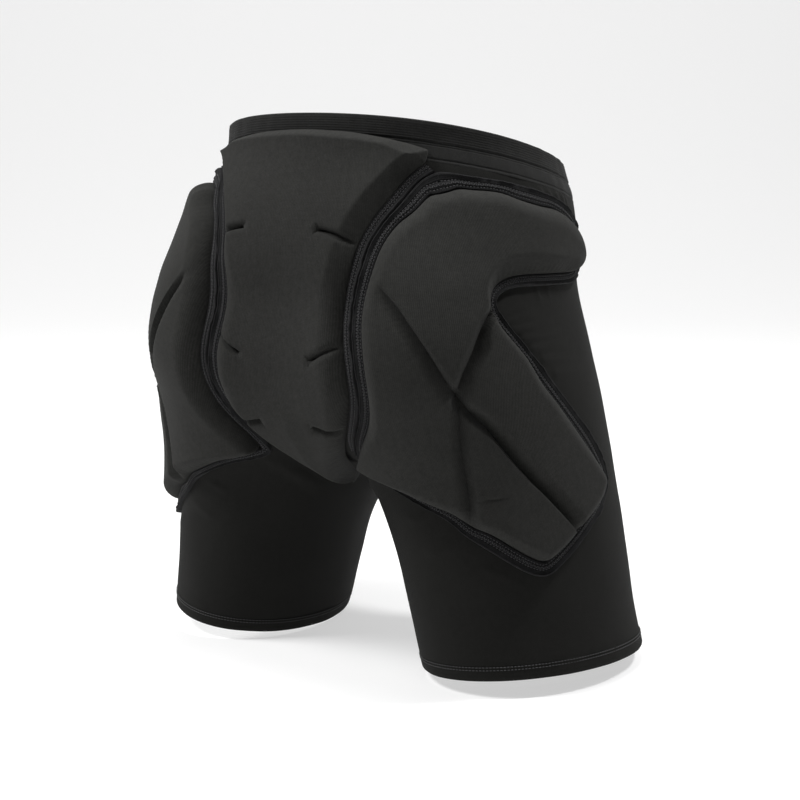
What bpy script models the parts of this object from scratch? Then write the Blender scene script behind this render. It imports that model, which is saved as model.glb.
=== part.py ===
"""Padded protective shorts: a stretch shell filled out as worn, with moulded hip and tailbone pads.

Metres, +Z up. The wearer faces -Y and the wearer's left is +X. The origin is the centre of the waist
opening. The garment is symmetric about the plane X = 0.

The shell's outer face is one smooth form: at each height its section joins two mirrored leg lobes.
Far below the waist the lobes part and become the two legs. Every piece is laid on that form.
"""

import math

import bmesh
import bpy
import numpy as np
from mathutils import Vector
from mathutils.geometry import delaunay_2d_cdt

# Overall sizes
OUTSEAM = 0.417
HIP_WIDTH = 0.350
SEAT_DEPTH = 0.125
WAIST_TILT = 0.25
WAIST_CENTRE_BACK = -0.015
HEM_RISE_OUTWARD = 0.095
HEM_RISE_BACKWARD = 0.040

# Cloth
SHELL_WALL = 0.0016
WAISTBAND_HEIGHT = 0.032
WAISTBAND_WALL = 0.0020
HEM_HEIGHT = 0.013
HEM_WALL = 0.0024

# Pads and their sewn edge tapes
HIP_PAD_THICKNESS = 0.0170
TAILBONE_PAD_THICKNESS = 0.0155
PAD_EDGE_HEIGHT = 0.0045
PAD_SHOULDER = 0.0130
GROOVE_HALF_WIDTH = 0.0100
DART_HALF_WIDTH = 0.0050
TAPE_WIDTH = 0.0085
TAPE_THICKNESS = 0.0022
TAPE_CROWN = 0.0008

# Clearances between pieces that are sewn together
SEAM_GAP = 0.0003
LAYER_GAP = 0.0012
PANEL_SLIT = 0.0020

# The tailbone pad spans the cleft of the form instead of following it
CLEFT_HALF_WIDTH = 0.040
CLEFT_LIFT = 0.013
CLEFT_SIDE_LIFT = 0.0012
CLEFT_STARTS = 0.44
CLEFT_FULL = 0.60

# Fineness of the facets
TORSO_COLUMNS = 25
TORSO_ROWS = 11
INSEAM_COLUMNS = 12
LEG_ROWS = 7
BAND_ROWS = 2
TAPE_STEP = 0.0130
PAD_STEP = 0.0155
SHARP_ANGLE = 50

# How a pad's facets are laid out: the two rings of its rounded shoulder, as shares of PAD_SHOULDER, and
# how close to an earlier point a new one may come, as shares of the groove's half width or of PAD_STEP
SHOULDER_RINGS = (0.33, 1.0)
GROOVE_SPACING = 0.6
RING_SPACING = 0.35
FILLING_SPACING = 0.6
FILLING_ROW_HEIGHT = 0.87
GROOVE_POINT_STEP = 0.75
# A groove's profile: 1 is a plain V, and more is a narrower bottom with rounded sides
GROOVE_PROFILE = 1.5

# Rounds of the searches for a point on the form, and the points looked at in each span of a smooth line
HALVINGS = 22
EDGE_ROUNDS = 6
SPAN_SAMPLES = 12

# Where the two leg lobes are treated as separate legs, as a share of the outseam
LEG_START = 0.60
# Sideways positions on the unrolled form are angle times this radius
UNROLL_RADIUS = 0.34 * HIP_WIDTH


def table(names, rows):
    """Rows of numbers as one array for each named column."""
    return dict(zip(names.split(), np.array(rows, float).T))


# The form's sections. Down is a share of OUTSEAM, axis_out, half_width and blend are shares of
# HIP_WIDTH, back, front and axis_back are shares of SEAT_DEPTH, and twist is in degrees.
SECTIONS = table(
    "down axis_out half_width back front axis_back twist blend",
    (
        (-0.10, 0.120, 0.300, 0.86, 0.85, -0.13, 0.0, 0.20),
        (0.00, 0.120, 0.300, 0.86, 0.85, -0.12, 0.0, 0.22),
        (0.12, 0.155, 0.311, 0.985, 0.84, -0.10, 0.0, 0.28),
        (0.26, 0.198, 0.283, 1.113, 0.84, -0.08, -10.8, 0.36),
        (0.40, 0.232, 0.294, 1.143, 0.85, -0.06, -4.5, 0.40),
        (0.52, 0.255, 0.303, 1.008, 0.87, -0.07, 4.8, 0.34),
        (0.62, 0.293, 0.274, 0.944, 0.88, -0.11, 7.3, 0.18),
        (0.70, 0.325, 0.256, 0.90, 0.86, -0.12, 8.5, 0.10),
        (0.80, 0.362, 0.236, 0.86, 0.85, -0.10, 11.5, 0.07),
        (0.90, 0.388, 0.226, 0.84, 0.84, -0.10, 14.0, 0.06),
        (1.00, 0.414, 0.221, 0.82, 0.83, -0.11, 17.0, 0.06),
        (1.10, 0.454, 0.221, 0.82, 0.83, -0.11, 17.0, 0.06),
    ),
)
SECTION_SIZES = {
    "axis_out": HIP_WIDTH,
    "half_width": HIP_WIDTH,
    "back": SEAT_DEPTH,
    "front": SEAT_DEPTH,
    "axis_back": SEAT_DEPTH,
    "twist": math.radians(1),
    "blend": HIP_WIDTH,
}

# The seam between the tailbone panel and a hip panel, from the waistband down. Angle is in degrees
# round the leg lobe's axis, 0 outward and 90 to the back, and down is a share of OUTSEAM.
PANEL_SEAM = table(
    "angle down",
    (
        (57, 0.040),
        (64, 0.058),
        (73, 0.102),
        (79, 0.135),
        (84, 0.174),
        (88.5, 0.232),
        (91, 0.272),
        (92.4, 0.314),
        (92.6, 0.355),
        (92.8, 0.393),
        (94, 0.438),
        (97, 0.478),
        (102, 0.513),
        (109, 0.549),
        (114, 0.575),
    ),
)

# The rest of a hip panel's outline, from the seam's foot round under the hip, up the diagonal side,
# round the notch, out to the upper lobe's front end and back along the waistband.
HIP_OUTLINE = table(
    "angle down",
    (
        (116, 0.592),
        (113, 0.607),
        (101, 0.624),
        (89.5, 0.651),
        (80.5, 0.680),
        (76, 0.705),
        (68, 0.735),
        (54, 0.778),
        (43, 0.788),
        (31, 0.765),
        (12, 0.716),
        (-4, 0.672),
        (-10, 0.619),
        (-2, 0.555),
        (10.5, 0.485),
        (24, 0.412),
        (36.5, 0.340),
        (43, 0.295),
        (44, 0.269),
        (39, 0.253),
        (30, 0.249),
        (12, 0.252),
        (-6, 0.254),
        (-16, 0.243),
        (-20, 0.213),
        (-19, 0.170),
        (-12, 0.128),
        (-1, 0.098),
        (9, 0.081),
        (19, 0.068),
        (32, 0.055),
        (44.5, 0.046),
        (52, 0.040),
    ),
)

# The tailbone pad's top edge and bottom edge, from the side to the back centre. Angle is in degrees
# from the back centre, and down is a share of OUTSEAM.
TAILBONE_TOP = table(
    "angle down",
    ((51, 0.000), (43, -0.012), (31, -0.025), (19, -0.034), (7, -0.038), (0, -0.039)),
)
TAILBONE_BOTTOM = table(
    "angle down",
    ((0, 0.592), (4, 0.582), (8, 0.562), (12, 0.543), (15, 0.530), (17.5, 0.519)),
)

# Moulded grooves of a hip pad, as angle and down, with depth as a share of the pad's thickness.
HIP_GROOVES = (
    table(
        "angle down depth",
        (
            (80.5, 0.241, 0.00),
            (74.5, 0.292, 0.22),
            (69, 0.353, 0.32),
            (63, 0.428, 0.45),
            (54, 0.497, 0.42),
            (43, 0.599, 0.45),
            (33.5, 0.668, 0.45),
            (24, 0.722, 0.50),
        ),
    ),
    table(
        "angle down depth",
        (
            (48, 0.284, 0.55),
            (55.5, 0.353, 0.50),
            (62, 0.418, 0.45),
            (63, 0.490, 0.38),
            (65.5, 0.562, 0.35),
            (68.5, 0.626, 0.35),
            (71.5, 0.686, 0.40),
        ),
    ),
)

# Stitched darts of the tailbone pad, on each side, as angle from the back centre, down and depth.
TAILBONE_DARTS = (
    table("angle down depth", ((13, 0.150, 0.05), (18, 0.155, 0.30), (24, 0.166, 0.38))),
    table("angle down depth", ((13, 0.383, 0.05), (17, 0.372, 0.28), (22, 0.356, 0.36))),
    table("angle down depth", ((9, 0.497, 0.05), (14, 0.502, 0.26), (19, 0.509, 0.34))),
)

COLOURS = {
    "shell_fabric": ((0.012, 0.012, 0.011), 0.85),
    "pad_fabric": ((0.030, 0.030, 0.028), 0.80),
    "waistband_elastic": ((0.018, 0.018, 0.017), 0.75),
    "edge_tape": ((0.015, 0.015, 0.015), 0.80),
}


def column_slopes(down, values):
    """Slopes of a smooth curve through a column, from the steps on either side of each row."""
    step = np.diff(down)
    rise = np.diff(values) / step
    inner = (rise[:-1] * step[1:] + rise[1:] * step[:-1]) / (step[1:] + step[:-1])
    return np.concatenate([rise[:1], inner, rise[-1:]])


def section_at(z):
    """Every section size at these heights, by name."""
    down = SECTIONS["down"]
    share = np.clip(-np.asarray(z, float) / OUTSEAM, down[0], down[-1])
    row = np.clip(np.searchsorted(down, share) - 1, 0, len(down) - 2)
    step = down[row + 1] - down[row]
    t = (share - down[row]) / step
    found = {}
    for name, size in SECTION_SIZES.items():
        column = SECTIONS[name] * size
        slope = column_slopes(down, column)
        found[name] = (
            column[row] * (2 * t**3 - 3 * t**2 + 1)
            + column[row + 1] * (3 * t**2 - 2 * t**3)
            + slope[row] * step * (t**3 - 2 * t**2 + t)
            + slope[row + 1] * step * (t**3 - t**2)
        )
    return found


def lobe_value(x, y, section, side):
    """Below zero inside one leg lobe: an oval with its own front and back depth, turned by its twist."""
    dx = x * side - section["axis_out"]
    dy = y - section["axis_back"]
    cos = np.cos(section["twist"])
    sin = np.sin(section["twist"])
    across = dx * cos + dy * sin
    along = dy * cos - dx * sin
    depth = np.where(along > 0, section["back"], section["front"])
    reach = np.hypot(across / section["half_width"], along / depth) + 1e-9
    return np.hypot(across, along) * (1 - 1 / reach)


def form_value(x, y, section):
    """Below zero inside the shell's outer form: both lobes, blended where they meet."""
    left = lobe_value(x, y, section, 1)
    right = lobe_value(x, y, section, -1)
    overlap = np.maximum(section["blend"] - np.abs(left - right), 0) / section["blend"]
    return np.minimum(left, right) - overlap**2 * section["blend"] / 4


def solve(inside, low, high):
    """The distance at which each ray leaves the form."""
    for _ in range(HALVINGS):
        middle = (low + high) / 2
        within = inside(middle)
        low = np.where(within, middle, low)
        high = np.where(within, high, middle)
    return (low + high) / 2


def on_form(angle, z):
    """Points on the left half's form, at an angle round the lobe's axis (0 outward, 90 degrees back)."""
    angle, z = np.broadcast_arrays(np.asarray(angle, float), np.asarray(z, float))
    section = section_at(z)
    cos = np.cos(angle)
    sin = np.sin(angle)
    widest = HIP_WIDTH
    to_centre = np.where(cos < 0, section["axis_out"] / np.maximum(-cos, 1e-6), widest)

    def inside(reach):
        x = section["axis_out"] + reach * cos
        y = section["axis_back"] + reach * sin
        return form_value(x, y, section) < 0

    reach = solve(inside, np.zeros_like(cos), np.minimum(to_centre, widest))
    x = np.maximum(section["axis_out"] + reach * cos, 0)
    return np.stack([x, section["axis_back"] + reach * sin, z], -1)


def normals_at(points):
    """Outward normals of the form, from its change over a short step."""
    step = 1e-4

    def value(moved):
        return form_value(moved[..., 0], moved[..., 1], section_at(moved[..., 2]))

    parts = [value(points + shift) - value(points - shift) for shift in step * np.eye(3)]
    gradient = np.stack(parts, -1)
    return gradient / np.linalg.norm(gradient, axis=-1, keepdims=True)


def centre_angle(z, side):
    """The angle at which the form meets the plane X = 0, at the back (side 1) or the front (-1)."""
    z = np.asarray(z, float)
    section = section_at(z)

    def inside(reach):
        return form_value(0 * z, section["axis_back"] + side * reach, section) < 0

    reach = solve(inside, 0 * z, 0 * z + HIP_WIDTH)
    return np.arctan2(side * reach, -section["axis_out"])


def hip_chart(place):
    """The left half's form, unrolled round the lobe's axis: sideways is angle times UNROLL_RADIUS."""
    return on_form(place[..., 0] / UNROLL_RADIUS, place[..., 1])


def tailbone_chart(place):
    """The form's back, unrolled from the back centre towards the wearer's right."""
    across = place[..., 0]
    z = place[..., 1]
    points = on_form(centre_angle(z, 1) - np.abs(across) / UNROLL_RADIUS, z).copy()
    points[..., 0] *= np.where(across > 0, -1, 1)
    return points


def cleft_lift(place):
    """How far the tailbone pad stands off the form where it spans the cleft."""
    down = -place[..., 1] / OUTSEAM
    t = np.clip((down - CLEFT_STARTS) / (CLEFT_FULL - CLEFT_STARTS), 0, 1)
    across = np.clip(1 - np.abs(place[..., 0]) / CLEFT_HALF_WIDTH, 0, 1)
    return t * t * (3 - 2 * t) * (CLEFT_SIDE_LIFT + CLEFT_LIFT * across**2)


def above(chart, place, height):
    """Points at a height above the form."""
    points = chart(place)
    return points + normals_at(points) * np.asarray(height)[..., None]


def smooth_line(points, step, closed):
    """A smooth curve through the rows, as points about one step apart."""
    count = len(points)
    spans = count if closed else count - 1
    dense = []
    for i in range(spans):
        if closed:
            a, b, c, d = (points[(i + k) % count] for k in (-1, 0, 1, 2))
        else:
            a, b, c, d = (points[min(max(i + k, 0), count - 1)] for k in (-1, 0, 1, 2))
        t = np.linspace(0, 1, SPAN_SAMPLES, endpoint=False)[:, None]
        dense.append(
            0.5 * (2 * b + (c - a) * t + (2 * a - 5 * b + 4 * c - d) * t**2 + (3 * b - a - 3 * c + d) * t**3)
        )
    dense = np.concatenate(dense + [points[:1] if closed else points[-1:]])
    length = np.concatenate([[0], np.cumsum(np.linalg.norm(np.diff(dense[:, :2], axis=0), axis=1))])
    pieces = max(2, round(length[-1] / step))
    wanted = np.linspace(0, length[-1], pieces + 1)
    line = np.stack([np.interp(wanted, length, column) for column in dense.T], -1)
    return line[:-1] if closed else line


def inset(chart, line, distance, closed):
    """The line moved by a real distance to its left, measured on the form."""
    if closed:
        along = np.roll(line, -1, 0) - np.roll(line, 1, 0)
    else:
        along = np.gradient(line, axis=0)
    step = 1e-4
    across = (chart(line + [step, 0]) - chart(line - [step, 0])) / (2 * step)
    upward = (chart(line + [0, step]) - chart(line - [0, step])) / (2 * step)
    aa = (across * across).sum(-1)
    ab = (across * upward).sum(-1)
    bb = (upward * upward).sum(-1)
    u = -(ab * along[:, 0] + bb * along[:, 1])
    v = aa * along[:, 0] + ab * along[:, 1]
    length = np.sqrt(aa * u * u + 2 * ab * u * v + bb * v * v)
    return line + distance * np.stack([u, v], -1) / length[:, None]


def distance_to(points, line, closed):
    """Shortest distance from each point to a line, and how far along the line it is met."""
    ends = np.concatenate([line, line[:1]]) if closed else line
    start = ends[:-1]
    span = np.diff(ends, axis=0)
    offset = points[:, None] - start[None]
    t = np.clip((offset * span).sum(-1) / (span**2).sum(-1), 0, 1)
    gap = np.linalg.norm(offset - t[..., None] * span, axis=-1)
    nearest = gap.argmin(1)
    rows = np.arange(len(points))
    return gap[rows, nearest], nearest + t[rows, nearest]


def places_of(rows, side=1):
    """A table's rows as places on an unrolled form. Side is -1 for angles that run the other way."""
    return np.stack([side * np.radians(rows["angle"]) * UNROLL_RADIUS, -rows["down"] * OUTSEAM], -1)


def material(name):
    """A plain cloth finish."""
    found = bpy.data.materials.get(name)
    if found:
        return found
    colour, roughness = COLOURS[name]
    made = bpy.data.materials.new(name)
    made.use_nodes = True
    shader = made.node_tree.nodes["Principled BSDF"]
    shader.inputs["Base Color"].default_value = (*colour, 1)
    shader.inputs["Roughness"].default_value = roughness
    shader.inputs["Metallic"].default_value = 0.0
    return made


def build_object(name, points, faces, slot, mirrored=False):
    """One named object. A mirrored one is the same mesh on the other side of the plane X = 0."""
    points = points * [-1, 1, 1] if mirrored else points
    mesh = bpy.data.meshes.new(name)
    body = bmesh.new()
    corners = [body.verts.new(Vector(point)) for point in points]
    for face in faces:
        order = face[::-1] if mirrored else face
        body.faces.new([corners[index] for index in order])
    bmesh.ops.triangulate(body, faces=body.faces[:])
    body.to_mesh(mesh)
    body.free()
    mesh.shade_smooth()
    mesh.set_sharp_from_angle(angle=math.radians(SHARP_ANGLE))
    mesh.materials.append(material(slot))
    bpy.context.scene.collection.objects.link(bpy.data.objects.new(name, mesh))


def wall(outer, inner, faces):
    """A closed wall: the outer faces, the same faces turned over on the inside, and the rims between."""
    count = len(outer)
    edges = {(a, b) for face in faces for a, b in zip(face, face[1:] + face[:1])}
    rims = [(b, a, a + count, b + count) for a, b in edges if (b, a) not in edges]
    turned = [tuple(index + count for index in face[::-1]) for face in faces]
    return np.concatenate([outer, inner]), [*faces, *turned, *sorted(rims)]


def grid_faces(indices, closed):
    """Quads between the rows of a grid of point numbers, facing out when rows run down."""
    rows, columns = indices.shape
    faces = []
    for i in range(rows - 1):
        for j in range(columns if closed else columns - 1):
            k = (j + 1) % columns
            faces.append(tuple(int(n) for n in (indices[i, j], indices[i + 1, j], indices[i + 1, k], indices[i, k])))
    return faces


def waist_edge(angle_share, drop):
    """Points of the left half, a drop below the waist's edge, from front centre (0) to back centre (1)."""
    angle_share, drop = np.broadcast_arrays(np.asarray(angle_share, float), np.asarray(drop, float))
    z = -drop
    for _ in range(EDGE_ROUNDS):
        angle = centre_angle(z, -1) * (1 - angle_share) + centre_angle(z, 1) * angle_share
        points = on_form(angle, z)
        z = WAIST_TILT * (points[..., 1] - WAIST_CENTRE_BACK) - drop
    return points


def hem_edge(angle, rise):
    """Points of the left leg, a rise above the hem's edge."""
    angle, rise = np.broadcast_arrays(np.asarray(angle, float), np.asarray(rise, float))
    hem = section_at(-OUTSEAM)
    z = rise - OUTSEAM
    for _ in range(EDGE_ROUNDS):
        points = on_form(angle, z)
        outward = points[..., 0] - hem["axis_out"]
        backward = points[..., 1] - hem["axis_back"]
        z = rise - OUTSEAM + HEM_RISE_OUTWARD * outward + HEM_RISE_BACKWARD * backward
    return points


def saddle_curve():
    """The form's line in the plane X = 0 below LEG_START, from the back round the crotch to the front."""
    start = -LEG_START * OUTSEAM
    section = section_at(start)
    back = section["axis_back"] - section["axis_out"] * math.tan(float(centre_angle(start, 1)))
    front = section["axis_back"] - section["axis_out"] * math.tan(float(centre_angle(start, -1)))
    middle = (back + front) / 2
    furthest = back - front
    turn = np.linspace(0, math.pi, INSEAM_COLUMNS)[1:-1]

    def at(reach):
        y = middle + reach * np.cos(turn)
        return np.stack([0 * y, y, start - reach * np.sin(turn)], -1)

    def inside(reach):
        points = at(reach)
        return form_value(points[:, 0], points[:, 1], section_at(points[:, 2])) < 0

    return at(solve(inside, 0 * turn, 0 * turn + furthest))


def leg_panel():
    """Half of the shell: the torso from the waistband down, and one whole leg."""
    start = -LEG_START * OUTSEAM
    share = np.linspace(0, 1, TORSO_COLUMNS)[None, :]
    fall = np.linspace(0, 1, TORSO_ROWS + 1)[:, None]
    top = waist_edge(share, WAISTBAND_HEIGHT + SEAM_GAP)
    z = top[..., 2] * (1 - fall) + start * fall
    angle = centre_angle(z, -1) * (1 - share) + centre_angle(z, 1) * share
    torso = on_form(angle, z)
    torso[:, [0, -1], 0] = 0

    saddle = saddle_curve()
    section = section_at(saddle[:, 2])
    inner_angle = np.arctan2(saddle[:, 1] - section["axis_back"], -section["axis_out"]) % (2 * math.pi)
    leg_angle = np.concatenate([angle[-1], inner_angle])
    leg_top = np.concatenate([torso[-1], saddle])
    leg_foot = hem_edge(leg_angle, HEM_HEIGHT + SEAM_GAP)
    fall = np.linspace(0, 1, LEG_ROWS + 1)[1:, None]
    leg = on_form(leg_angle, leg_top[:, 2] * (1 - fall) + leg_foot[:, 2] * fall)

    outer = np.concatenate([torso.reshape(-1, 3), saddle, leg.reshape(-1, 3)])
    torso_index = np.arange(torso.shape[0] * TORSO_COLUMNS).reshape(-1, TORSO_COLUMNS)
    saddle_index = torso_index.size + np.arange(len(saddle))
    first = np.concatenate([torso_index[-1], saddle_index])[None]
    leg_index = first.max() + 1 + np.arange(leg.shape[0] * leg.shape[1]).reshape(leg.shape[:2])
    faces = grid_faces(torso_index, False) + grid_faces(np.concatenate([first, leg_index]), True)
    inner = outer - SHELL_WALL * normals_at(outer)
    points, faces = wall(outer, inner, faces)
    points = points + [SEAM_GAP / 2, 0, 0]
    build_object("leg_panel_left", points, faces, "shell_fabric")
    build_object("leg_panel_right", points, faces, "shell_fabric", mirrored=True)


def waistband():
    """The elastic ring above the shell, flush with it outside and a little thicker."""
    share = np.linspace(0, 1, TORSO_COLUMNS)[None, :]
    drop = np.linspace(0, WAISTBAND_HEIGHT, BAND_ROWS + 1)[:, None]
    left = waist_edge(share, drop)
    left[:, [0, -1], 0] = 0
    right = left[:, -2:0:-1] * [-1, 1, 1]
    normal_left = normals_at(left)
    normal_right = normal_left[:, -2:0:-1] * [-1, 1, 1]
    outer = np.concatenate([left, right], 1)
    normal = np.concatenate([normal_left, normal_right], 1)
    index = np.arange(outer.shape[0] * outer.shape[1]).reshape(outer.shape[:2])
    inner = outer - WAISTBAND_WALL * normal
    points, faces = wall(outer.reshape(-1, 3), inner.reshape(-1, 3), grid_faces(index, True))
    build_object("waistband", points, faces, "waistband_elastic")


def leg_hem():
    """The folded and stitched edge of each leg."""
    columns = TORSO_COLUMNS + INSEAM_COLUMNS - 2
    angle = np.linspace(0, 2 * math.pi, columns, endpoint=False)[None, :]
    rise = np.linspace(HEM_HEIGHT, 0, BAND_ROWS + 1)[:, None]
    outer = hem_edge(angle, rise)
    normal = normals_at(outer)
    proud = (HEM_WALL - SHELL_WALL) / 2
    index = np.arange(outer.shape[0] * outer.shape[1]).reshape(outer.shape[:2])
    top = (outer + proud * normal).reshape(-1, 3)
    bottom = (outer + (proud - HEM_WALL) * normal).reshape(-1, 3)
    points, faces = wall(top, bottom, grid_faces(index, True))
    points = points + [SEAM_GAP / 2, 0, 0]
    build_object("leg_hem_left", points, faces, "shell_fabric")
    build_object("leg_hem_right", points, faces, "shell_fabric", mirrored=True)


def hip_outline():
    """A hip panel's whole outline, going round anticlockwise as seen from outside."""
    rows = np.concatenate([places_of(PANEL_SEAM), places_of(HIP_OUTLINE)])
    return smooth_line(rows, TAPE_STEP, True)[::-1]


def tape(chart, line, closed):
    """A sewn tape laid on the form, left of a line, with a crowned top."""
    near = inset(chart, line, PANEL_SLIT / 2, closed)
    middle = inset(chart, line, (PANEL_SLIT + TAPE_WIDTH) / 2, closed)
    far = inset(chart, line, PANEL_SLIT / 2 + TAPE_WIDTH, closed)
    heights = (TAPE_THICKNESS, TAPE_THICKNESS + TAPE_CROWN, TAPE_THICKNESS)
    sides = (near, middle, far)
    top = np.stack([above(chart, side, height) for side, height in zip(sides, heights)])
    bottom = np.stack([above(chart, side, LAYER_GAP) for side in sides])
    index = np.arange(top.shape[0] * top.shape[1]).reshape(top.shape[:2])
    faces = [face[::-1] for face in grid_faces(index, closed)]
    return wall(top.reshape(-1, 3), bottom.reshape(-1, 3), faces)


def pad_layout(chart, outline, grooves, groove_half_width):
    """Places for a pad's facets: its outline, its grooves, its rounded shoulder and an even filling.

    Returns the places and the edges between them that the facets keep to.
    """
    edge = chart(outline)
    count = len(outline)
    places = outline
    spots = edge
    edges = [(i, (i + 1) % count) for i in range(count)]

    def add(line, from_edge, apart, joined):
        """Keep the line's places that are clear of the outline and of the earlier ones."""
        nonlocal places, spots
        line = line[points_within(line, outline)]
        before = None
        for place, spot in zip(line, chart(line)):
            clear = distance_to(spot[None], edge, True)[0][0] > from_edge
            if not clear or np.linalg.norm(spots - spot, axis=1).min() < apart:
                before = None
                continue
            places = np.concatenate([places, place[None]])
            spots = np.concatenate([spots, spot[None]])
            if joined and before is not None:
                edges.append((before, len(places) - 1))
            before = len(places) - 1

    for offset in (0, -groove_half_width, groove_half_width):
        for rows in grooves:
            centre = smooth_line(rows, PAD_STEP * GROOVE_POINT_STEP, False)[:, :2]
            line = centre if offset == 0 else inset(chart, centre, offset, False)
            add(line, groove_half_width / 3, groove_half_width * GROOVE_SPACING, True)
    for share in SHOULDER_RINGS:
        ring = inset(chart, outline, PAD_SHOULDER * share, True)
        add(ring, PAD_SHOULDER * share * 0.9, PAD_STEP * RING_SPACING, True)
    low = outline.min(0)
    high = outline.max(0)
    for i, z in enumerate(np.arange(low[1], high[1], PAD_STEP * FILLING_ROW_HEIGHT)):
        across = np.arange(low[0] + PAD_STEP / 2 * (i % 2), high[0], PAD_STEP)
        add(np.stack([across, 0 * across + z], -1), PAD_SHOULDER, PAD_STEP * FILLING_SPACING, False)
    return places, edges


def pad(chart, outline, grooves, groove_half_width, thickness, lift=None):
    """A crowned pad on the form, inside an outline, with rounded shoulders and pressed-in grooves."""
    places, edges = pad_layout(chart, outline, grooves, groove_half_width)
    inside_outline = 1
    same_place = 1e-7
    found = delaunay_2d_cdt([Vector(place) for place in places], edges, [], inside_outline, same_place)
    flat = np.array([tuple(place) for place in found[0]])
    faces = [tuple(face) for face in found[2]]
    base = chart(flat)
    from_edge = distance_to(base, chart(outline), True)[0]
    rise = np.clip(from_edge / PAD_SHOULDER, 0, 1)
    crown = np.sqrt(1 - (1 - rise) ** 2)
    height = PAD_EDGE_HEIGHT + (thickness - PAD_EDGE_HEIGHT) * crown
    for rows in grooves:
        line = smooth_line(rows, PAD_STEP * GROOVE_POINT_STEP, False)
        gap, met = distance_to(base, chart(line[:, :2]), False)
        pressed = np.interp(met, np.arange(len(line)), line[:, 2])
        dip = np.clip(1 - gap / groove_half_width, 0, 1) ** GROOVE_PROFILE
        height = height - thickness * pressed * dip * crown
    stand_off = lift(flat) if lift else 0 * height
    top = above(chart, flat, stand_off + height)
    bottom = above(chart, flat, stand_off + LAYER_GAP)
    return wall(top, bottom, faces)


def points_within(points, polygon):
    """Whether each point is inside a closed outline."""
    within = np.zeros(len(points), bool)
    for (x0, y0), (x1, y1) in zip(polygon, np.roll(polygon, -1, 0)):
        crosses = (y0 > points[:, 1]) != (y1 > points[:, 1])
        with np.errstate(divide="ignore", invalid="ignore"):
            at = x0 + (points[:, 1] - y0) * (x1 - x0) / (y1 - y0)
        within ^= crosses & (points[:, 0] < at)
    return within


def hip_pads():
    """Each hip's tape and moulded pad."""
    outline = hip_outline()
    points, faces = tape(hip_chart, outline, True)
    build_object("hip_tape_left", points, faces, "edge_tape")
    build_object("hip_tape_right", points, faces, "edge_tape", mirrored=True)
    inner = inset(hip_chart, outline, PANEL_SLIT / 2 + TAPE_WIDTH + SEAM_GAP, True)
    grooves = [np.column_stack([places_of(rows), rows["depth"]]) for rows in HIP_GROOVES]
    points, faces = pad(hip_chart, inner, grooves, GROOVE_HALF_WIDTH, HIP_PAD_THICKNESS)
    build_object("hip_pad_left", points, faces, "pad_fabric")
    build_object("hip_pad_right", points, faces, "pad_fabric", mirrored=True)


def tailbone_seam():
    """The panel seam in the tailbone's chart, on the wearer's left, from the waistband down."""
    z = -PANEL_SEAM["down"] * OUTSEAM
    from_centre = centre_angle(z, 1) - np.radians(PANEL_SEAM["angle"])
    rows = np.stack([-from_centre * UNROLL_RADIUS, z], -1)
    return smooth_line(rows, TAPE_STEP, False)


def tailbone_pad():
    """The pad over the tailbone, with a tape down each side."""
    seam = tailbone_seam()
    points, faces = tape(tailbone_chart, seam, False)
    build_object("tailbone_tape_left", points, faces, "edge_tape")
    build_object("tailbone_tape_right", points, faces, "edge_tape", mirrored=True)
    side = inset(tailbone_chart, seam, PANEL_SLIT / 2 + TAPE_WIDTH + SEAM_GAP, False)
    top = smooth_line(places_of(TAILBONE_TOP, -1), TAPE_STEP, False)
    bottom = smooth_line(places_of(TAILBONE_BOTTOM, -1), TAPE_STEP, False)
    below_top = side[:, 1] < top[0, 1] - TAPE_STEP / 2
    above_bottom = side[:, 1] > bottom[-1, 1] + TAPE_STEP / 2
    left = np.concatenate([top[::-1], side[below_top & above_bottom], bottom[::-1]])
    right = left[-2:0:-1] * [-1, 1]
    outline = np.concatenate([left, right])
    grooves = []
    for rows in TAILBONE_DARTS:
        for hand in (-1, 1):
            grooves.append(np.column_stack([places_of(rows, hand), rows["depth"]]))
    points, faces = pad(
        tailbone_chart, outline, grooves, DART_HALF_WIDTH, TAILBONE_PAD_THICKNESS, cleft_lift
    )
    build_object("tailbone_pad", points, faces, "pad_fabric")


def clear_scene():
    """Start from an empty scene."""
    for item in list(bpy.data.objects):
        bpy.data.objects.remove(item, do_unlink=True)


clear_scene()
leg_panel()
waistband()
leg_hem()
hip_pads()
tailbone_pad()
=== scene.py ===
"""Padded protective shorts, dressed: knit shell, ribbed waistband, moulded pads and their sewn tapes.

Metres, +Z up. The wearer faces -Y and the wearer's left is +X. The origin is the centre of the waist
opening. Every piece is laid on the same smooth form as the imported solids, with finer detail.
"""

import math

import bpy
import numpy as np
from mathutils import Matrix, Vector
from mathutils.geometry import delaunay_2d_cdt


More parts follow.
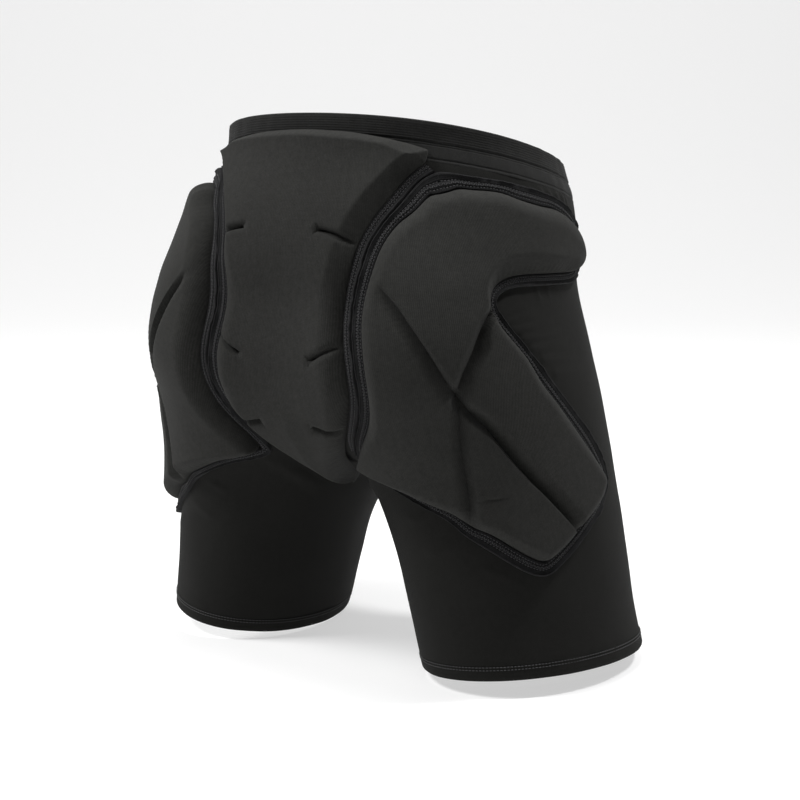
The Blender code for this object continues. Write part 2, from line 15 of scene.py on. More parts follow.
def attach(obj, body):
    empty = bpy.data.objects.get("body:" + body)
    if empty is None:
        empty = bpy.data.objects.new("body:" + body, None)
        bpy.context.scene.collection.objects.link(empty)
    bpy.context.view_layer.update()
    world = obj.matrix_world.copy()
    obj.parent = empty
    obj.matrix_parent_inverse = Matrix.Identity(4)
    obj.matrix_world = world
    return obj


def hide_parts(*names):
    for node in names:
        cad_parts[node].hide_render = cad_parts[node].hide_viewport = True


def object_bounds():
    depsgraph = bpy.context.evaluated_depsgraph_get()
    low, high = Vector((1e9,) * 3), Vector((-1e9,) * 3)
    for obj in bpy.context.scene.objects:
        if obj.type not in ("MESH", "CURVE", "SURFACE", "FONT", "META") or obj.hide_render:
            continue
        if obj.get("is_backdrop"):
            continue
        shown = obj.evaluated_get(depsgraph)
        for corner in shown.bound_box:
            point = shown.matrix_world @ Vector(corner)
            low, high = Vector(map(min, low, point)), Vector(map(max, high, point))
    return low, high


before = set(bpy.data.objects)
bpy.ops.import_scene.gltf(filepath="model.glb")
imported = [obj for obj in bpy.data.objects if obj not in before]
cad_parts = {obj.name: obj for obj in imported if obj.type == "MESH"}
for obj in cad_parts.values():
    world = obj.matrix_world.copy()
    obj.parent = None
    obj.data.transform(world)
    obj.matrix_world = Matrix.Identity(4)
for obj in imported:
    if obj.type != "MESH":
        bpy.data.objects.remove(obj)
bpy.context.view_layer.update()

# The form's overall sizes
OUTSEAM = 0.417
HIP_WIDTH = 0.350
SEAT_DEPTH = 0.125
WAIST_TILT = 0.25
WAIST_CENTRE_BACK = -0.015
HEM_RISE_OUTWARD = 0.095
HEM_RISE_BACKWARD = 0.040
LEG_START = 0.60
UNROLL_RADIUS = 0.34 * HIP_WIDTH

# Cloth
SHELL_WALL = 0.0016
WAISTBAND_HEIGHT = 0.032
WAISTBAND_WALL = 0.0020
HEM_HEIGHT = 0.013
HEM_WALL = 0.0024
HEM_FOLD = 0.0004
SEAM_OVERLAP = 0.0006

# The waistband's ribs, from one drop below its edge to another, and how its edges are rounded
RIBS_START = 0.0015
RIBS_END = 0.0150
RIB_PITCH = 0.0019
RIB_HEIGHT = 0.00032
RIB_SINK = 0.0001
BAND_ROUNDING = 0.0009
BAND_ROUND_WIDTH = 0.0010

# Pads
HIP_PAD_THICKNESS = 0.0170
TAILBONE_PAD_THICKNESS = 0.0155
PAD_UNDERSIDE = -0.0004
PAD_INSET = 0.0098
CLEFT_HALF_WIDTH = 0.040
CLEFT_LIFT = 0.008
CLEFT_SIDE_LIFT = 0.0012
CLEFT_STARTS = 0.44
CLEFT_FULL = 0.60

# Small puckers: how high they stand, how far apart, and how far from the seam or groove they reach
SEAM_PUCKER = 0.00035
SEAM_PUCKER_PITCH = 0.0052
SEAM_PUCKER_START = 0.0012
SEAM_PUCKER_REACH = 0.006
GROOVE_PUCKER = 0.00022
GROOVE_PUCKER_PITCH = 0.0042
GROOVE_PUCKER_FLANKS = 1.6
TAPE_PUCKER = 0.00022
TAPE_PUCKER_PITCH = 0.0026
TAPE_PUCKER_SLANT = 900

# Unevenness of each piece, as bumps of a height and a size, and the seed of its first random draw
SHELL_RIPPLES = ((0.00035, 0.030), (0.0005, 0.075))
BAND_RIPPLES = ((0.00025, 0.006),)
BAND_RIPPLE_SQUASH = (1, 1, 0.2)
HEM_RIPPLES = ((0.0003, 0.022),)
RAW_EDGE_RIPPLES = ((0.0006, 0.011), (0.0004, 0.003))
PAD_RIPPLES = ((0.00040, 0.050), (0.00012, 0.012))
SHELL_SEED = 3
BAND_SEED = 11
HEM_SEED = 21
HIP_TAPE_SEED = 31
TAILBONE_TAPE_SEED = 41
HIP_PAD_SEED = 51
TAILBONE_PAD_SEED = 61
RIPPLE_WAVES = 9

# How a fold of the shell runs in before its start and fades out past its end, as shares of its length
FOLD_LEAD_IN = 0.25
FOLD_END = 1.15

# Fineness of the meshes
TORSO_COLUMNS = 190
TORSO_ROWS = 98
INSEAM_COLUMNS = 70
LEG_ROWS = 58
WAISTBAND_COLUMNS = 183
WAISTBAND_ROWS = 78
HEM_COLUMNS = 215
HEM_ROWS = 15
OUTLINE_STEP = 0.0015
PAD_STEP = 0.0017
EDGE_RINGS = (0.0008, 0.0018, 0.0031)
GROOVE_ROWS = (0.0008, 0.0018, 0.0032)
TAPE_STEP = 0.0012
SIDE_STEP = 0.0006
SPLINE_SAMPLES = 24
HALVINGS = 22
EDGE_ROUNDS = 6
SHORT_STEP = 1e-4
SHARP_EDGE = 62

# How strongly and how often a line is drawn smooth, and how near a table's row has to be to count
EASING = 0.22
HIP_EDGE_EASINGS = 10
TAILBONE_EDGE_EASINGS = 4
BLEND_RADIUS = 0.008

# Gaps kept between the places of a pad's mesh, and the longest link along a groove
FILLING_GAP = 0.6 * PAD_STEP
RUN_GAP = 0.5 * PAD_STEP
CROSSING_GAP = 0.4 * PAD_STEP
LONGEST_LINK = 1.7 * PAD_STEP

# Camera, as the photograph was taken
CAMERA_AZIMUTH = 215.2
CAMERA_TURN = -0.615
CAMERA_DIP = 9.56
CAMERA_DISTANCE = 1.400
CAMERA_HEIGHT = 0.022
FOCAL_PIXELS = 1652
PICTURE_PIXELS = 800
SENSOR_WIDTH = 36

# The studio: a pale sweep and its bend, what glows, and each light's turn from the camera in degrees,
# height, distance, size and power
FLOOR_GAP = 0.001
SWEEP_FRONT = -6.0
SWEEP_BACK = 2.2
SWEEP_BEND = 1.5
SWEEP_TOP = 6.0
SWEEP_HALF_WIDTH = 7.0
SWEEP_ROWS = 24
PAPER_ROUGHNESS = 0.9
PAPER_GLOW = 0.54
SURROUND_GLOW = 0.14
WHITE = (1, 1, 1, 1)
LIGHT_AIM = (0, 0, -0.2)
LIGHTS = {
    "key": (-80, 1.7, 1.6, 0.8, 62),
    "fill": (86, 1.7, 1.2, 0.3, 40),
    "top": (0, 2.2, 0.2, 0.7, 22),
}


def table(names, rows):
    """Rows of numbers as one array for each named column."""
    return dict(zip(names.split(), np.array(rows, float).T))


# Where the shell's columns lie from the front centre (0) to the back centre (1), closer at the side,
# where the folds are.
COLUMN_SPACING = table("at share", ((0, 0), (0.25, 0.34), (0.78, 0.72), (1, 1)))

# The form's sections. Down is a share of OUTSEAM, axis_out, half_width and blend are shares of
# HIP_WIDTH, back, front and axis_back are shares of SEAT_DEPTH, and twist is in degrees.
SECTIONS = table(
    "down axis_out half_width back front axis_back twist blend",
    (
        (-0.10, 0.120, 0.300, 0.86, 0.85, -0.13, 0.0, 0.20),
        (0.00, 0.120, 0.300, 0.86, 0.85, -0.12, 0.0, 0.22),
        (0.12, 0.155, 0.311, 0.985, 0.84, -0.10, 0.0, 0.28),
        (0.26, 0.198, 0.283, 1.113, 0.84, -0.08, -10.8, 0.36),
        (0.40, 0.232, 0.294, 1.143, 0.85, -0.06, -4.5, 0.40),
        (0.52, 0.255, 0.303, 1.008, 0.87, -0.07, 4.8, 0.34),
        (0.62, 0.293, 0.274, 0.944, 0.88, -0.11, 7.3, 0.18),
        (0.70, 0.325, 0.256, 0.90, 0.86, -0.12, 8.5, 0.10),
        (0.80, 0.362, 0.236, 0.86, 0.85, -0.10, 11.5, 0.07),
        (0.90, 0.388, 0.226, 0.84, 0.84, -0.10, 14.0, 0.06),
        (1.00, 0.414, 0.221, 0.82, 0.83, -0.11, 17.0, 0.06),
        (1.10, 0.454, 0.221, 0.82, 0.83, -0.11, 17.0, 0.06),
    ),
)
SECTION_SIZES = {
    "axis_out": HIP_WIDTH,
    "half_width": HIP_WIDTH,
    "back": SEAT_DEPTH,
    "front": SEAT_DEPTH,
    "axis_back": SEAT_DEPTH,
    "twist": math.radians(1),
    "blend": HIP_WIDTH,
}

# The seam between the tailbone panel and a hip panel, from the waistband down. Angle is in degrees
# round the leg lobe's axis, 0 outward and 90 to the back, and down is a share of OUTSEAM.
PANEL_SEAM = table(
    "angle down",
    (
        (57, 0.040), (64, 0.058), (73, 0.102), (79, 0.135), (84, 0.174), (88.5, 0.232), (91, 0.272),
        (92.4, 0.314), (92.6, 0.355), (92.8, 0.393), (94, 0.438), (97, 0.478), (102, 0.513),
        (109, 0.549), (114, 0.575),
    ),
)

# The rest of a hip panel's outline, from the seam's foot round under the hip, up the diagonal side,
# round the notch, out to the upper lobe's front end and back along the waistband.
HIP_OUTLINE = table(
    "angle down",
    (
        (116, 0.592), (113, 0.607), (101, 0.624), (89.5, 0.651), (80.5, 0.680), (76, 0.705),
        (68, 0.735), (54, 0.778), (43, 0.788), (31, 0.765), (12, 0.716), (-4, 0.672), (-10, 0.619),
        (-2, 0.555), (10.5, 0.485), (24, 0.412), (36.5, 0.340), (43, 0.295), (44, 0.269), (39, 0.253),
        (30, 0.249), (12, 0.252), (-6, 0.254), (-16, 0.243), (-20, 0.213), (-19, 0.170), (-12, 0.128),
        (-1, 0.098), (9, 0.081), (19, 0.068), (32, 0.055), (44.5, 0.046), (52, 0.040),
    ),
)

# The tailbone pad's top edge and bottom edge, as angle from the back centre and down.
TAILBONE_TOP = table(
    "angle down",
    ((51, 0.000), (43, -0.012), (31, -0.025), (19, -0.034), (7, -0.038), (0, -0.039)),
)
TAILBONE_BOTTOM = table(
    "angle down",
    ((0, 0.634), (3, 0.624), (7, 0.602), (11, 0.576), (15, 0.549), (17.5, 0.528)),
)

# How a pad rises from its edge: the shoulder's width and the edge's height in millimetres, how soft a
# round shoulder is (0.5 is a quarter round, 1 a gentle slope), and the share of a straight bevel with a
# crisp upper edge in place of the round. Each place takes a blend of the rows near it.
HIP_SHOULDERS = table(
    "angle down width softness bevel edge",
    (
        (88.5, 0.140, 14, 0.75, 0, 2), (92, 0.300, 15, 0.8, 0, 2), (93, 0.420, 14, 0.8, 0, 2),
        (105, 0.570, 10, 0.7, 0, 2.4), (84, 0.650, 10, 0.6, 0.2, 2.4), (60, 0.750, 8, 0.55, 0.3, 2.6),
        (40, 0.785, 8, 0.55, 0.3, 2.6), (12, 0.720, 12, 0.7, 0, 2), (-9, 0.620, 15, 0.8, 0, 1.8),
        (10, 0.485, 15, 0.8, 0, 1.8), (25, 0.410, 12, 0.75, 0, 2), (38, 0.330, 8, 0.6, 0.2, 3),
        (43.5, 0.280, 4, 0.5, 0.6, 6), (42, 0.262, 13, 0.6, 1, 2), (36, 0.252, 15, 0.6, 1, 2),
        (26, 0.250, 14, 0.6, 1, 3), (10, 0.252, 11, 0.55, 0.9, 5), (-6, 0.254, 9, 0.55, 0.5, 6),
        (-16, 0.243, 14, 0.6, 0.2, 4), (-20, 0.200, 30, 0.65, 0, 3), (-16, 0.150, 30, 0.75, 0, 2.6),
        (-4, 0.100, 19, 0.8, 0, 2.2), (18, 0.070, 16, 0.85, 0, 2), (44, 0.046, 16, 0.85, 0, 2),
        (68, 0.070, 14, 0.8, 0, 2.2),
    ),
)
TAILBONE_SHOULDERS = table(
    "angle down width softness bevel edge",
    (
        (0, -0.040, 6, 0.6, 0.3, 2.6), (30, -0.030, 6, 0.6, 0.3, 2.6), (50, 0.000, 10, 0.5, 0.8, 3),
        (44, 0.050, 12, 0.5, 1, 3), (34, 0.110, 13, 0.5, 1, 2.8), (28, 0.160, 13, 0.5, 0.9, 2.6),
        (25, 0.210, 13, 0.6, 0.5, 2.6), (23, 0.300, 15, 0.75, 0, 2), (23, 0.420, 15, 0.75, 0, 2),
        (18, 0.520, 10, 0.6, 0.2, 2.8), (10, 0.580, 12, 0.8, 0, 2.6), (0, 0.630, 16, 0.9, 0, 2.4),
    ),
)

# How wide the hip's tape is round the outline, against TAPE_SECTION.
TAPE_WIDTHS = table(
    "angle down share",
    (
        (90, 0.250, 1), (93, 0.450, 1), (80, 0.140, 0.95), (66, 0.064, 1.35), (57, 0.041, 1.9),
        (46, 0.045, 1.25), (34, 0.054, 1.1), (19, 0.068, 1.4), (-1, 0.098, 1.1), (-19, 0.170, 0.9),
        (-18, 0.240, 0.9), (0, 0.254, 1), (26, 0.250, 1), (43, 0.285, 0.95), (36.5, 0.340, 0.9),
        (20, 0.430, 1.2), (2, 0.530, 1.3), (-10, 0.620, 1.25), (8, 0.700, 1.15), (28, 0.758, 1.2),
        (43, 0.788, 1.2), (55, 0.778, 1.3), (69, 0.733, 1.3), (77, 0.700, 0.9), (90, 0.651, 0.6),
        (102, 0.624, 0.6), (115, 0.595, 0.8),
    ),
)

# Moulded grooves of a hip pad, from the top down: depth as a share of the pad's thickness, and the width
# in millimetres of the flank towards the back and of the flank towards the front.
GROOVE_COLUMNS = "angle down depth back_flank front_flank"
HIP_GROOVES = (
    table(
        GROOVE_COLUMNS,
        (
            (80.5, 0.241, 0, 8, 2), (77.5, 0.265, 0.25, 8, 1.6), (74.5, 0.292, 0.34, 9, 1.6),
            (69, 0.353, 0.42, 11, 1.8), (63, 0.428, 0.46, 8, 4), (54, 0.497, 0.62, 2.2, 10),
            (43, 0.599, 0.68, 2, 11), (33.5, 0.668, 0.72, 2, 11), (26, 0.712, 0.8, 2, 11),
            (22, 0.735, 0.8, 3, 8),
        ),
    ),
    table(
        GROOVE_COLUMNS,
        (
            (46, 0.272, 0.5, 8, 2.5), (48, 0.290, 0.74, 8, 2.5), (52, 0.318, 0.74, 8, 3.5),
            (55.5, 0.353, 0.7, 8, 10), (62, 0.418, 0.52, 6, 8), (63, 0.490, 0.45, 7, 7),
            (65.5, 0.562, 0.42, 7, 7), (68.5, 0.626, 0.42, 7, 7), (71.5, 0.686, 0.45, 8, 7),
        ),
    ),
)
HIP_CREASE = table(
    GROOVE_COLUMNS,
    (
        (67, 0.630, 0, 2, 3), (60, 0.628, 0.06, 2, 3), (53, 0.624, 0, 2, 3),
    ),
)

# Stitched darts of the tailbone pad, as angle from the back centre, down, depth and flanks.
TAILBONE_DARTS = (
    table(
        GROOVE_COLUMNS,
        (
            (13, 0.150, 0, 2, 2), (14, 0.150, 0.45, 2.5, 2.5), (18, 0.155, 0.42, 2.5, 3),
            (24, 0.166, 0.5, 3, 5),
        ),
    ),
    table(
        GROOVE_COLUMNS,
        (
            (13, 0.383, 0, 2, 2), (14, 0.381, 0.45, 2.5, 2.5), (17.5, 0.371, 0.4, 2.5, 3),
            (22, 0.356, 0.45, 3, 6),
        ),
    ),
    table(
        GROOVE_COLUMNS,
        (
            (9, 0.497, 0, 2, 2), (10, 0.497, 0.4, 2.5, 2.5), (14, 0.502, 0.4, 2.5, 3),
            (19, 0.509, 0.5, 3, 5),
        ),
    ),
)

# Folds of the shell, each a ridge from one place to another, with its height and half width in
# millimetres: the fan below the notch, the gathers under the waistband and the pulls under the hip pad.
SHELL_FOLDS = table(
    "angle down angle_end down_end height width",
    (
        (43.5, 0.284, 33, 0.265, 1.8, 2.3), (43.5, 0.295, 31, 0.281, 2.1, 2.3),
        (41.5, 0.309, 25.5, 0.297, 2.4, 2.5), (38.5, 0.324, 15, 0.317, 2.6, 2.8),
        (34.3, 0.341, 10, 0.337, 2.4, 2.9), (30.3, 0.361, 6, 0.361, 2, 3.1),
        (25, 0.384, 1, 0.386, 1.6, 3.3), (18.8, 0.412, -4, 0.412, 1.2, 3.5),
        (22.4, 0.256, 20.1, 0.280, 0.8, 2), (14.5, 0.258, 13.1, 0.276, 0.6, 2),
        (29.6, 0.076, 29.1, 0.097, 1.1, 2.3), (22.1, 0.076, 22.7, 0.101, 1.2, 2.3),
        (15.6, 0.075, 16.5, 0.107, 1.3, 2.4), (9.3, 0.077, 11.3, 0.115, 1.5, 2.5),
        (4.1, 0.081, 6, 0.123, 1.4, 2.5), (-1.5, 0.085, 0.8, 0.130, 1.1, 2.5),
        (-6.4, 0.090, -5.3, 0.148, 0.9, 2.7), (-10, 0.094, -8.8, 0.137, 0.8, 2.7),
        (98.3, 0.690, 83.8, 0.668, 0.9, 2.6), (93.7, 0.748, 75.8, 0.722, 1, 3.4),
        (69.9, 0.772, 54, 0.806, 0.8, 3.4), (112, 0.575, 128, 0.645, 1.3, 3.5),
        (128, 0.645, 148, 0.695, 1.3, 3.5), (114, 0.610, 150, 0.722, 1.4, 4),
    ),
)

# A sewn tape's section in millimetres, from the slit to the pad: a standing raw edge, then a flat band
# with two sunk needle lines.
TAPE_SECTION = table(
    "across height",
    (
        (0.5, -0.4), (0.5, 3), (0.9, 3.9), (1.5, 4.1), (2.1, 3.3), (2.9, 2.9), (3.8, 2.8), (4.3, 1.9),
        (4.8, 2.6), (5.9, 3), (7, 2.6), (7.5, 1.8), (8, 2.5), (8.8, 2.4), (9.6, 1.2), (9.8, -0.4),
    ),
)
# The standing raw edge and the band's belly are what lies above these heights of that section.
RAW_EDGE_ABOVE = 2.9
BELLY_ABOVE = 2.2

# The waistband's three sunk needle lines and the lower band's belly, in metres below the edge.
WAISTBAND_LINES = table(
    "drop height width",
    (
        (0.0160, -0.0010, 0.0008), (0.0182, -0.0004, 0.0005), (0.0288, -0.0006, 0.0006),
        (0.0240, 0.0004, 0.0050),
    ),
)

# The folded hem's section, from its lower edge up: rise in metres and height in millimetres.
HEM_SECTION = table(
    "rise height",
    ((0, -0.6), (0.0006, 0.1), (0.002, 0.5), (0.010, 0.45), (0.0118, 0.15), (0.013, -0.5)),
)

# Stitches: where their lines run across a tape or above a hem's edge, how high they lie, and each
# one's pitch, length and radius. The cover threads slant to either side in turn.
NEEDLE_LINES = (0.0043, 0.0075)
NEEDLE_HEIGHTS = (0.0023, 0.0022)
NEEDLE_STITCH = {"pitch": 0.0027, "length": 0.0019, "radius": 0.00038}
COVER_HEIGHT = 0.0030
COVER_STITCH = {"pitch": 0.0018, "length": 0.0022, "radius": 0.00024, "slant": 1.0}
HEM_NEEDLE_LINES = (0.0092, 0.0116)
HEM_STITCH_HEIGHT = 0.0006
HEM_STITCH = {"pitch": 0.0028, "length": 0.0021, "radius": 0.00032}
HEM_STITCH_SAMPLES = 420

# The rings of one stitch, as a place along it and a share of its radius, and the corners of a ring
STITCH_RINGS = ((-0.5, 0.25), (-0.24, 1.0), (0.24, 1.0), (0.5, 0.25))
STITCH_CORNERS = 5

# Painted shade in a tape's needle holes: where a hole's painted shade is darkest, where it ends, and how
# dark it is
HOLE_SHADE_DARKEST = 0.00036
HOLE_SHADE_ENDS = 0.0009
HOLE_SHADE = 0.15

# Colours are linear.
SHELL_COLOUR = (0.0088, 0.0088, 0.0080)
PAD_COLOUR = (0.0195, 0.0195, 0.0182)
BAND_COLOUR = (0.0150, 0.0150, 0.0145)
TAPE_COLOUR = (0.0130, 0.0130, 0.0135)
THREAD_COLOUR = (0.0330, 0.0330, 0.0350)
FLOOR_COLOUR = (0.48, 0.48, 0.48)

# Cloth and thread: gloss, and the noises that vary them, as bumps to a metre and the share they change
CLOTH_SPECULAR = 0.10
SHEEN_ROUGHNESS = 0.45
COLUMN_RELIEF = 1.2
FINE_GRAIN = 1.6
FINE_RELIEF = 0.7
BROAD_SCALE = 18.0
BROAD_CHANGE = 0.10
WEAR_SCALE = 240.0
STREAK_SCALE = 420.0
STREAK_RUN = (1.0, 0.05, 0.0)
ROUGHNESS_BELOW = 0.08
ROUGHNESS_ABOVE = 0.06
BUMP_STRENGTH = 0.9
THREAD_SPECULAR = 0.35
THREAD_SHEEN = 0.15
FIBRE_SCALE = 2600.0
FIBRE_CHANGE = 0.35
FIBRE_RELIEF = 0.0002


def column_slopes(down, values):
    """Slopes of a smooth curve through a column, from the steps on either side of each row."""
    step = np.diff(down)
    rise = np.diff(values) / step
    inner = (rise[:-1] * step[1:] + rise[1:] * step[:-1]) / (step[1:] + step[:-1])
    return np.concatenate([rise[:1], inner, rise[-1:]])


def section_at(z):
    """Every section size at these heights, by name."""
    down = SECTIONS["down"]
    share = np.clip(-np.asarray(z, float) / OUTSEAM, down[0], down[-1])
    row = np.clip(np.searchsorted(down, share) - 1, 0, len(down) - 2)
    step = down[row + 1] - down[row]
    t = (share - down[row]) / step
    found = {}
    for name, size in SECTION_SIZES.items():
        column = SECTIONS[name] * size
        slope = column_slopes(down, column)
        found[name] = (
            column[row] * (2 * t**3 - 3 * t**2 + 1)
            + column[row + 1] * (3 * t**2 - 2 * t**3)
            + slope[row] * step * (t**3 - 2 * t**2 + t)
            + slope[row + 1] * step * (t**3 - t**2)
        )
    return found


def lobe_value(x, y, section, side):
    """Below zero inside one leg lobe: an oval with its own front and back depth, turned by its twist."""
    dx = x * side - section["axis_out"]
    dy = y - section["axis_back"]
    cos = np.cos(section["twist"])
    sin = np.sin(section["twist"])
    across = dx * cos + dy * sin
    along = dy * cos - dx * sin
    depth = np.where(along > 0, section["back"], section["front"])
    reach = np.hypot(across / section["half_width"], along / depth) + 1e-9
    return np.hypot(across, along) * (1 - 1 / reach)


def form_value(x, y, section):
    """Below zero inside the shell's outer form: both lobes, blended where they meet."""
    left = lobe_value(x, y, section, 1)
    right = lobe_value(x, y, section, -1)
    overlap = np.maximum(section["blend"] - np.abs(left - right), 0) / section["blend"]
    return np.minimum(left, right) - overlap**2 * section["blend"] / 4


def solve(inside, low, high):
    """The distance at which each ray leaves the form."""
    for _ in range(HALVINGS):
        middle = (low + high) / 2
        within = inside(middle)
        low = np.where(within, middle, low)
        high = np.where(within, high, middle)
    return (low + high) / 2


def on_form(angle, z):
    """Points on the left half's form, at an angle round the lobe's axis (0 outward, 90 degrees back)."""
    angle, z = np.broadcast_arrays(np.asarray(angle, float), np.asarray(z, float))
    section = section_at(z)
    cos = np.cos(angle)
    sin = np.sin(angle)
    to_centre = np.where(cos < 0, section["axis_out"] / np.maximum(-cos, 1e-6), HIP_WIDTH)

    def inside(reach):
        x = section["axis_out"] + reach * cos
        y = section["axis_back"] + reach * sin
        return form_value(x, y, section) < 0

    reach = solve(inside, np.zeros_like(cos), np.minimum(to_centre, HIP_WIDTH))
    x = np.maximum(section["axis_out"] + reach * cos, 0)
    return np.stack([x, section["axis_back"] + reach * sin, z], -1)


def normals_at(points):
    """Outward normals of the form, from its change over a short step."""

    def value(moved):
        return form_value(moved[..., 0], moved[..., 1], section_at(moved[..., 2]))

    shifts = SHORT_STEP * np.eye(3)
    parts = [value(points + shift) - value(points - shift) for shift in shifts]
    gradient = np.stack(parts, -1)
    return gradient / np.linalg.norm(gradient, axis=-1, keepdims=True)


def centre_angle(z, side):
    """The angle at which the form meets the plane X = 0, at the back (side 1) or the front (-1)."""
    z = np.asarray(z, float)
    section = section_at(z)

    def inside(reach):
        return form_value(0 * z, section["axis_back"] + side * reach, section) < 0

    reach = solve(inside, 0 * z, 0 * z + HIP_WIDTH)
    return np.arctan2(side * reach, -section["axis_out"])


def hip_chart(place):
    """The left half's form, unrolled round the lobe's axis: sideways is angle times UNROLL_RADIUS."""
    return on_form(place[..., 0] / UNROLL_RADIUS, place[..., 1])


def tailbone_chart(place):
    """The form's back, unrolled from the back centre towards the wearer's right."""
    across = place[..., 0]
    z = place[..., 1]
    points = on_form(centre_angle(z, 1) - np.abs(across) / UNROLL_RADIUS, z).copy()
    points[..., 0] *= np.where(across > 0, -1, 1)
    return points


def cleft_lift(place):
    """How far the tailbone pad stands off the form where it spans the cleft."""
    down = -place[..., 1] / OUTSEAM
    t = np.clip((down - CLEFT_STARTS) / (CLEFT_FULL - CLEFT_STARTS), 0, 1)
    across = np.clip(1 - np.abs(place[..., 0]) / CLEFT_HALF_WIDTH, 0, 1)
    return t * t * (3 - 2 * t) * (CLEFT_SIDE_LIFT + CLEFT_LIFT * across**2)


def above(chart, place, height):
    """Points at a height above the form."""
    points = chart(place)
    return points + normals_at(points) * np.asarray(height)[..., None]


def smooth_line(points, step, closed):
    """A smooth curve through the rows, as points about one step apart."""
    count = len(points)
    spans = count if closed else count - 1
    dense = []
    for i in range(spans):
        if closed:
            a, b, c, d = (points[(i + k) % count] for k in (-1, 0, 1, 2))
        else:
            a, b, c, d = (points[min(max(i + k, 0), count - 1)] for k in (-1, 0, 1, 2))
        t = np.linspace(0, 1, SPLINE_SAMPLES, endpoint=False)[:, None]
        squares = (2 * a - 5 * b + 4 * c - d) * t**2
        cubes = (3 * b - a - 3 * c + d) * t**3
        dense.append(0.5 * (2 * b + (c - a) * t + squares + cubes))
    dense = np.concatenate(dense + [points[:1] if closed else points[-1:]])
    return even_line(dense, step, closed)


def even_line(dense, step, closed):
    """The same curve with even steps. A closed curve's last point repeats its first."""
    length = np.concatenate([[0], np.cumsum(np.linalg.norm(np.diff(dense[:, :2], axis=0), axis=1))])
    pieces = max(2, round(length[-1] / step))
    wanted = np.linspace(0, length[-1], pieces + 1)
    line = np.stack([np.interp(wanted, length, column) for column in dense.T], -1)
    return line[:-1] if closed else line


def metric(chart, line):
    """How far the form's surface runs for a small move across and a small move up, at each place."""
    step = SHORT_STEP
    across = (chart(line + [step, 0]) - chart(line - [step, 0])) / (2 * step)
    upward = (chart(line + [0, step]) - chart(line - [0, step])) / (2 * step)
    return (across * across).sum(-1), (across * upward).sum(-1), (upward * upward).sum(-1)


def inset(chart, line, distance, closed):
    """The line moved by a real distance to its left, measured on the form."""
    along = np.roll(line, -1, 0) - np.roll(line, 1, 0) if closed else np.gradient(line, axis=0)
    aa, ab, bb = metric(chart, line)
    u = -(ab * along[:, 0] + bb * along[:, 1])
    v = aa * along[:, 0] + ab * along[:, 1]
    length = np.sqrt(aa * u * u + 2 * ab * u * v + bb * v * v)
    return line + np.asarray(distance)[..., None] * np.stack([u, v], -1) / length[:, None]


def eased(line, closed, rounds=2):
    """The line with each point drawn a little towards its neighbours, so that tight bends stay open."""
    for _ in range(rounds):
        before = np.roll(line, 1, 0)
        after = np.roll(line, -1, 0)
        if not closed:
            before[0] = line[0]
            after[-1] = line[-1]
        line = line + EASING * (before + after - 2 * line)
    return line


def side_lines(chart, line, distances, closed, scale=1.0):
    """The line moved to each distance in turn, in short steps that keep its points apart.

    Scale is the share of each distance that is used, as one number or one for each point.
    """
    found = []
    current = line
    reached = 0.0
    for distance in distances:
        while distance - reached > 1e-9:
            step = min(SIDE_STEP, distance - reached)
            current = eased(inset(chart, current, step * scale, closed), closed)
            reached += step
        found.append(current)
    return np.stack(found)


def distance_to(points, line, closed):
    """Distance to a line, how far along it is met, and the offset from there."""
    ends = np.concatenate([line, line[:1]]) if closed else line
    start = ends[:-1]
    span = np.diff(ends, axis=0)
    best = np.full(len(points), np.inf)
    met = np.zeros(len(points))
    offsets = np.zeros_like(points)
    for i in range(len(start)):
        offset = points - start[i]
        t = np.clip(offset @ span[i] / (span[i] @ span[i]), 0, 1)
        apart = offset - t[:, None] * span[i]
        gap = np.einsum("ij,ij->i", apart, apart)
        nearer = gap < best
        best[nearer] = gap[nearer]
        met[nearer] = (i + t)[nearer]
        offsets[nearer] = apart[nearer]
    return np.sqrt(best), met, offsets


def places_of(rows, side=1):
    """A table's rows as places on an unrolled form. Side is -1 for angles that run the other way."""
    return np.stack([side * np.radians(rows["angle"]) * UNROLL_RADIUS, -rows["down"] * OUTSEAM], -1)


def blended(places, rows, names, side_free=False):
    """The named columns at each place, blended from the rows near it. Side_free also takes them for
    the places across the centre.
    """
    at = np.stack([np.abs(places[:, 0]), places[:, 1]], -1) if side_free else places
    spots = places_of(rows)
    apart = ((at[:, None] - spots[None]) ** 2).sum(-1)
    weight = 1 / (apart + BLEND_RADIUS**2) ** 2
    weight /= weight.sum(1, keepdims=True)
    return [weight @ rows[name] for name in names]


def ripple(points, size, seed):
    """Smooth unevenness between about -1 and 1, with bumps of this size, the same each run."""
    random = np.random.default_rng(seed)
    turns = random.normal(size=(RIPPLE_WAVES, 3))
    turns /= np.linalg.norm(turns, axis=1, keepdims=True)
    turns *= random.uniform(0.7, 1.4, (RIPPLE_WAVES, 1)) * math.pi / size
    phases = random.uniform(0, 2 * math.pi, RIPPLE_WAVES)
    return np.sin(points @ turns.T + phases).sum(1) / 4


def uneven(points, ripples, seed):
    """Ripples of several heights and sizes together, each with its own random draw."""
    pairs = enumerate(ripples)
    return sum(height * ripple(points, size, seed + number) for number, (height, size) in pairs)


def points_within(points, polygon):
    """Whether each point is inside a closed outline."""
    within = np.zeros(len(points), bool)
    for (x0, y0), (x1, y1) in zip(polygon, np.roll(polygon, -1, 0)):
        if y0 == y1:
            continue
        crosses = (y0 > points[:, 1]) != (y1 > points[:, 1])
        at = x0 + (points[:, 1] - y0) * (x1 - x0) / (y1 - y0)
        within ^= crosses & (points[:, 0] < at)
    return within


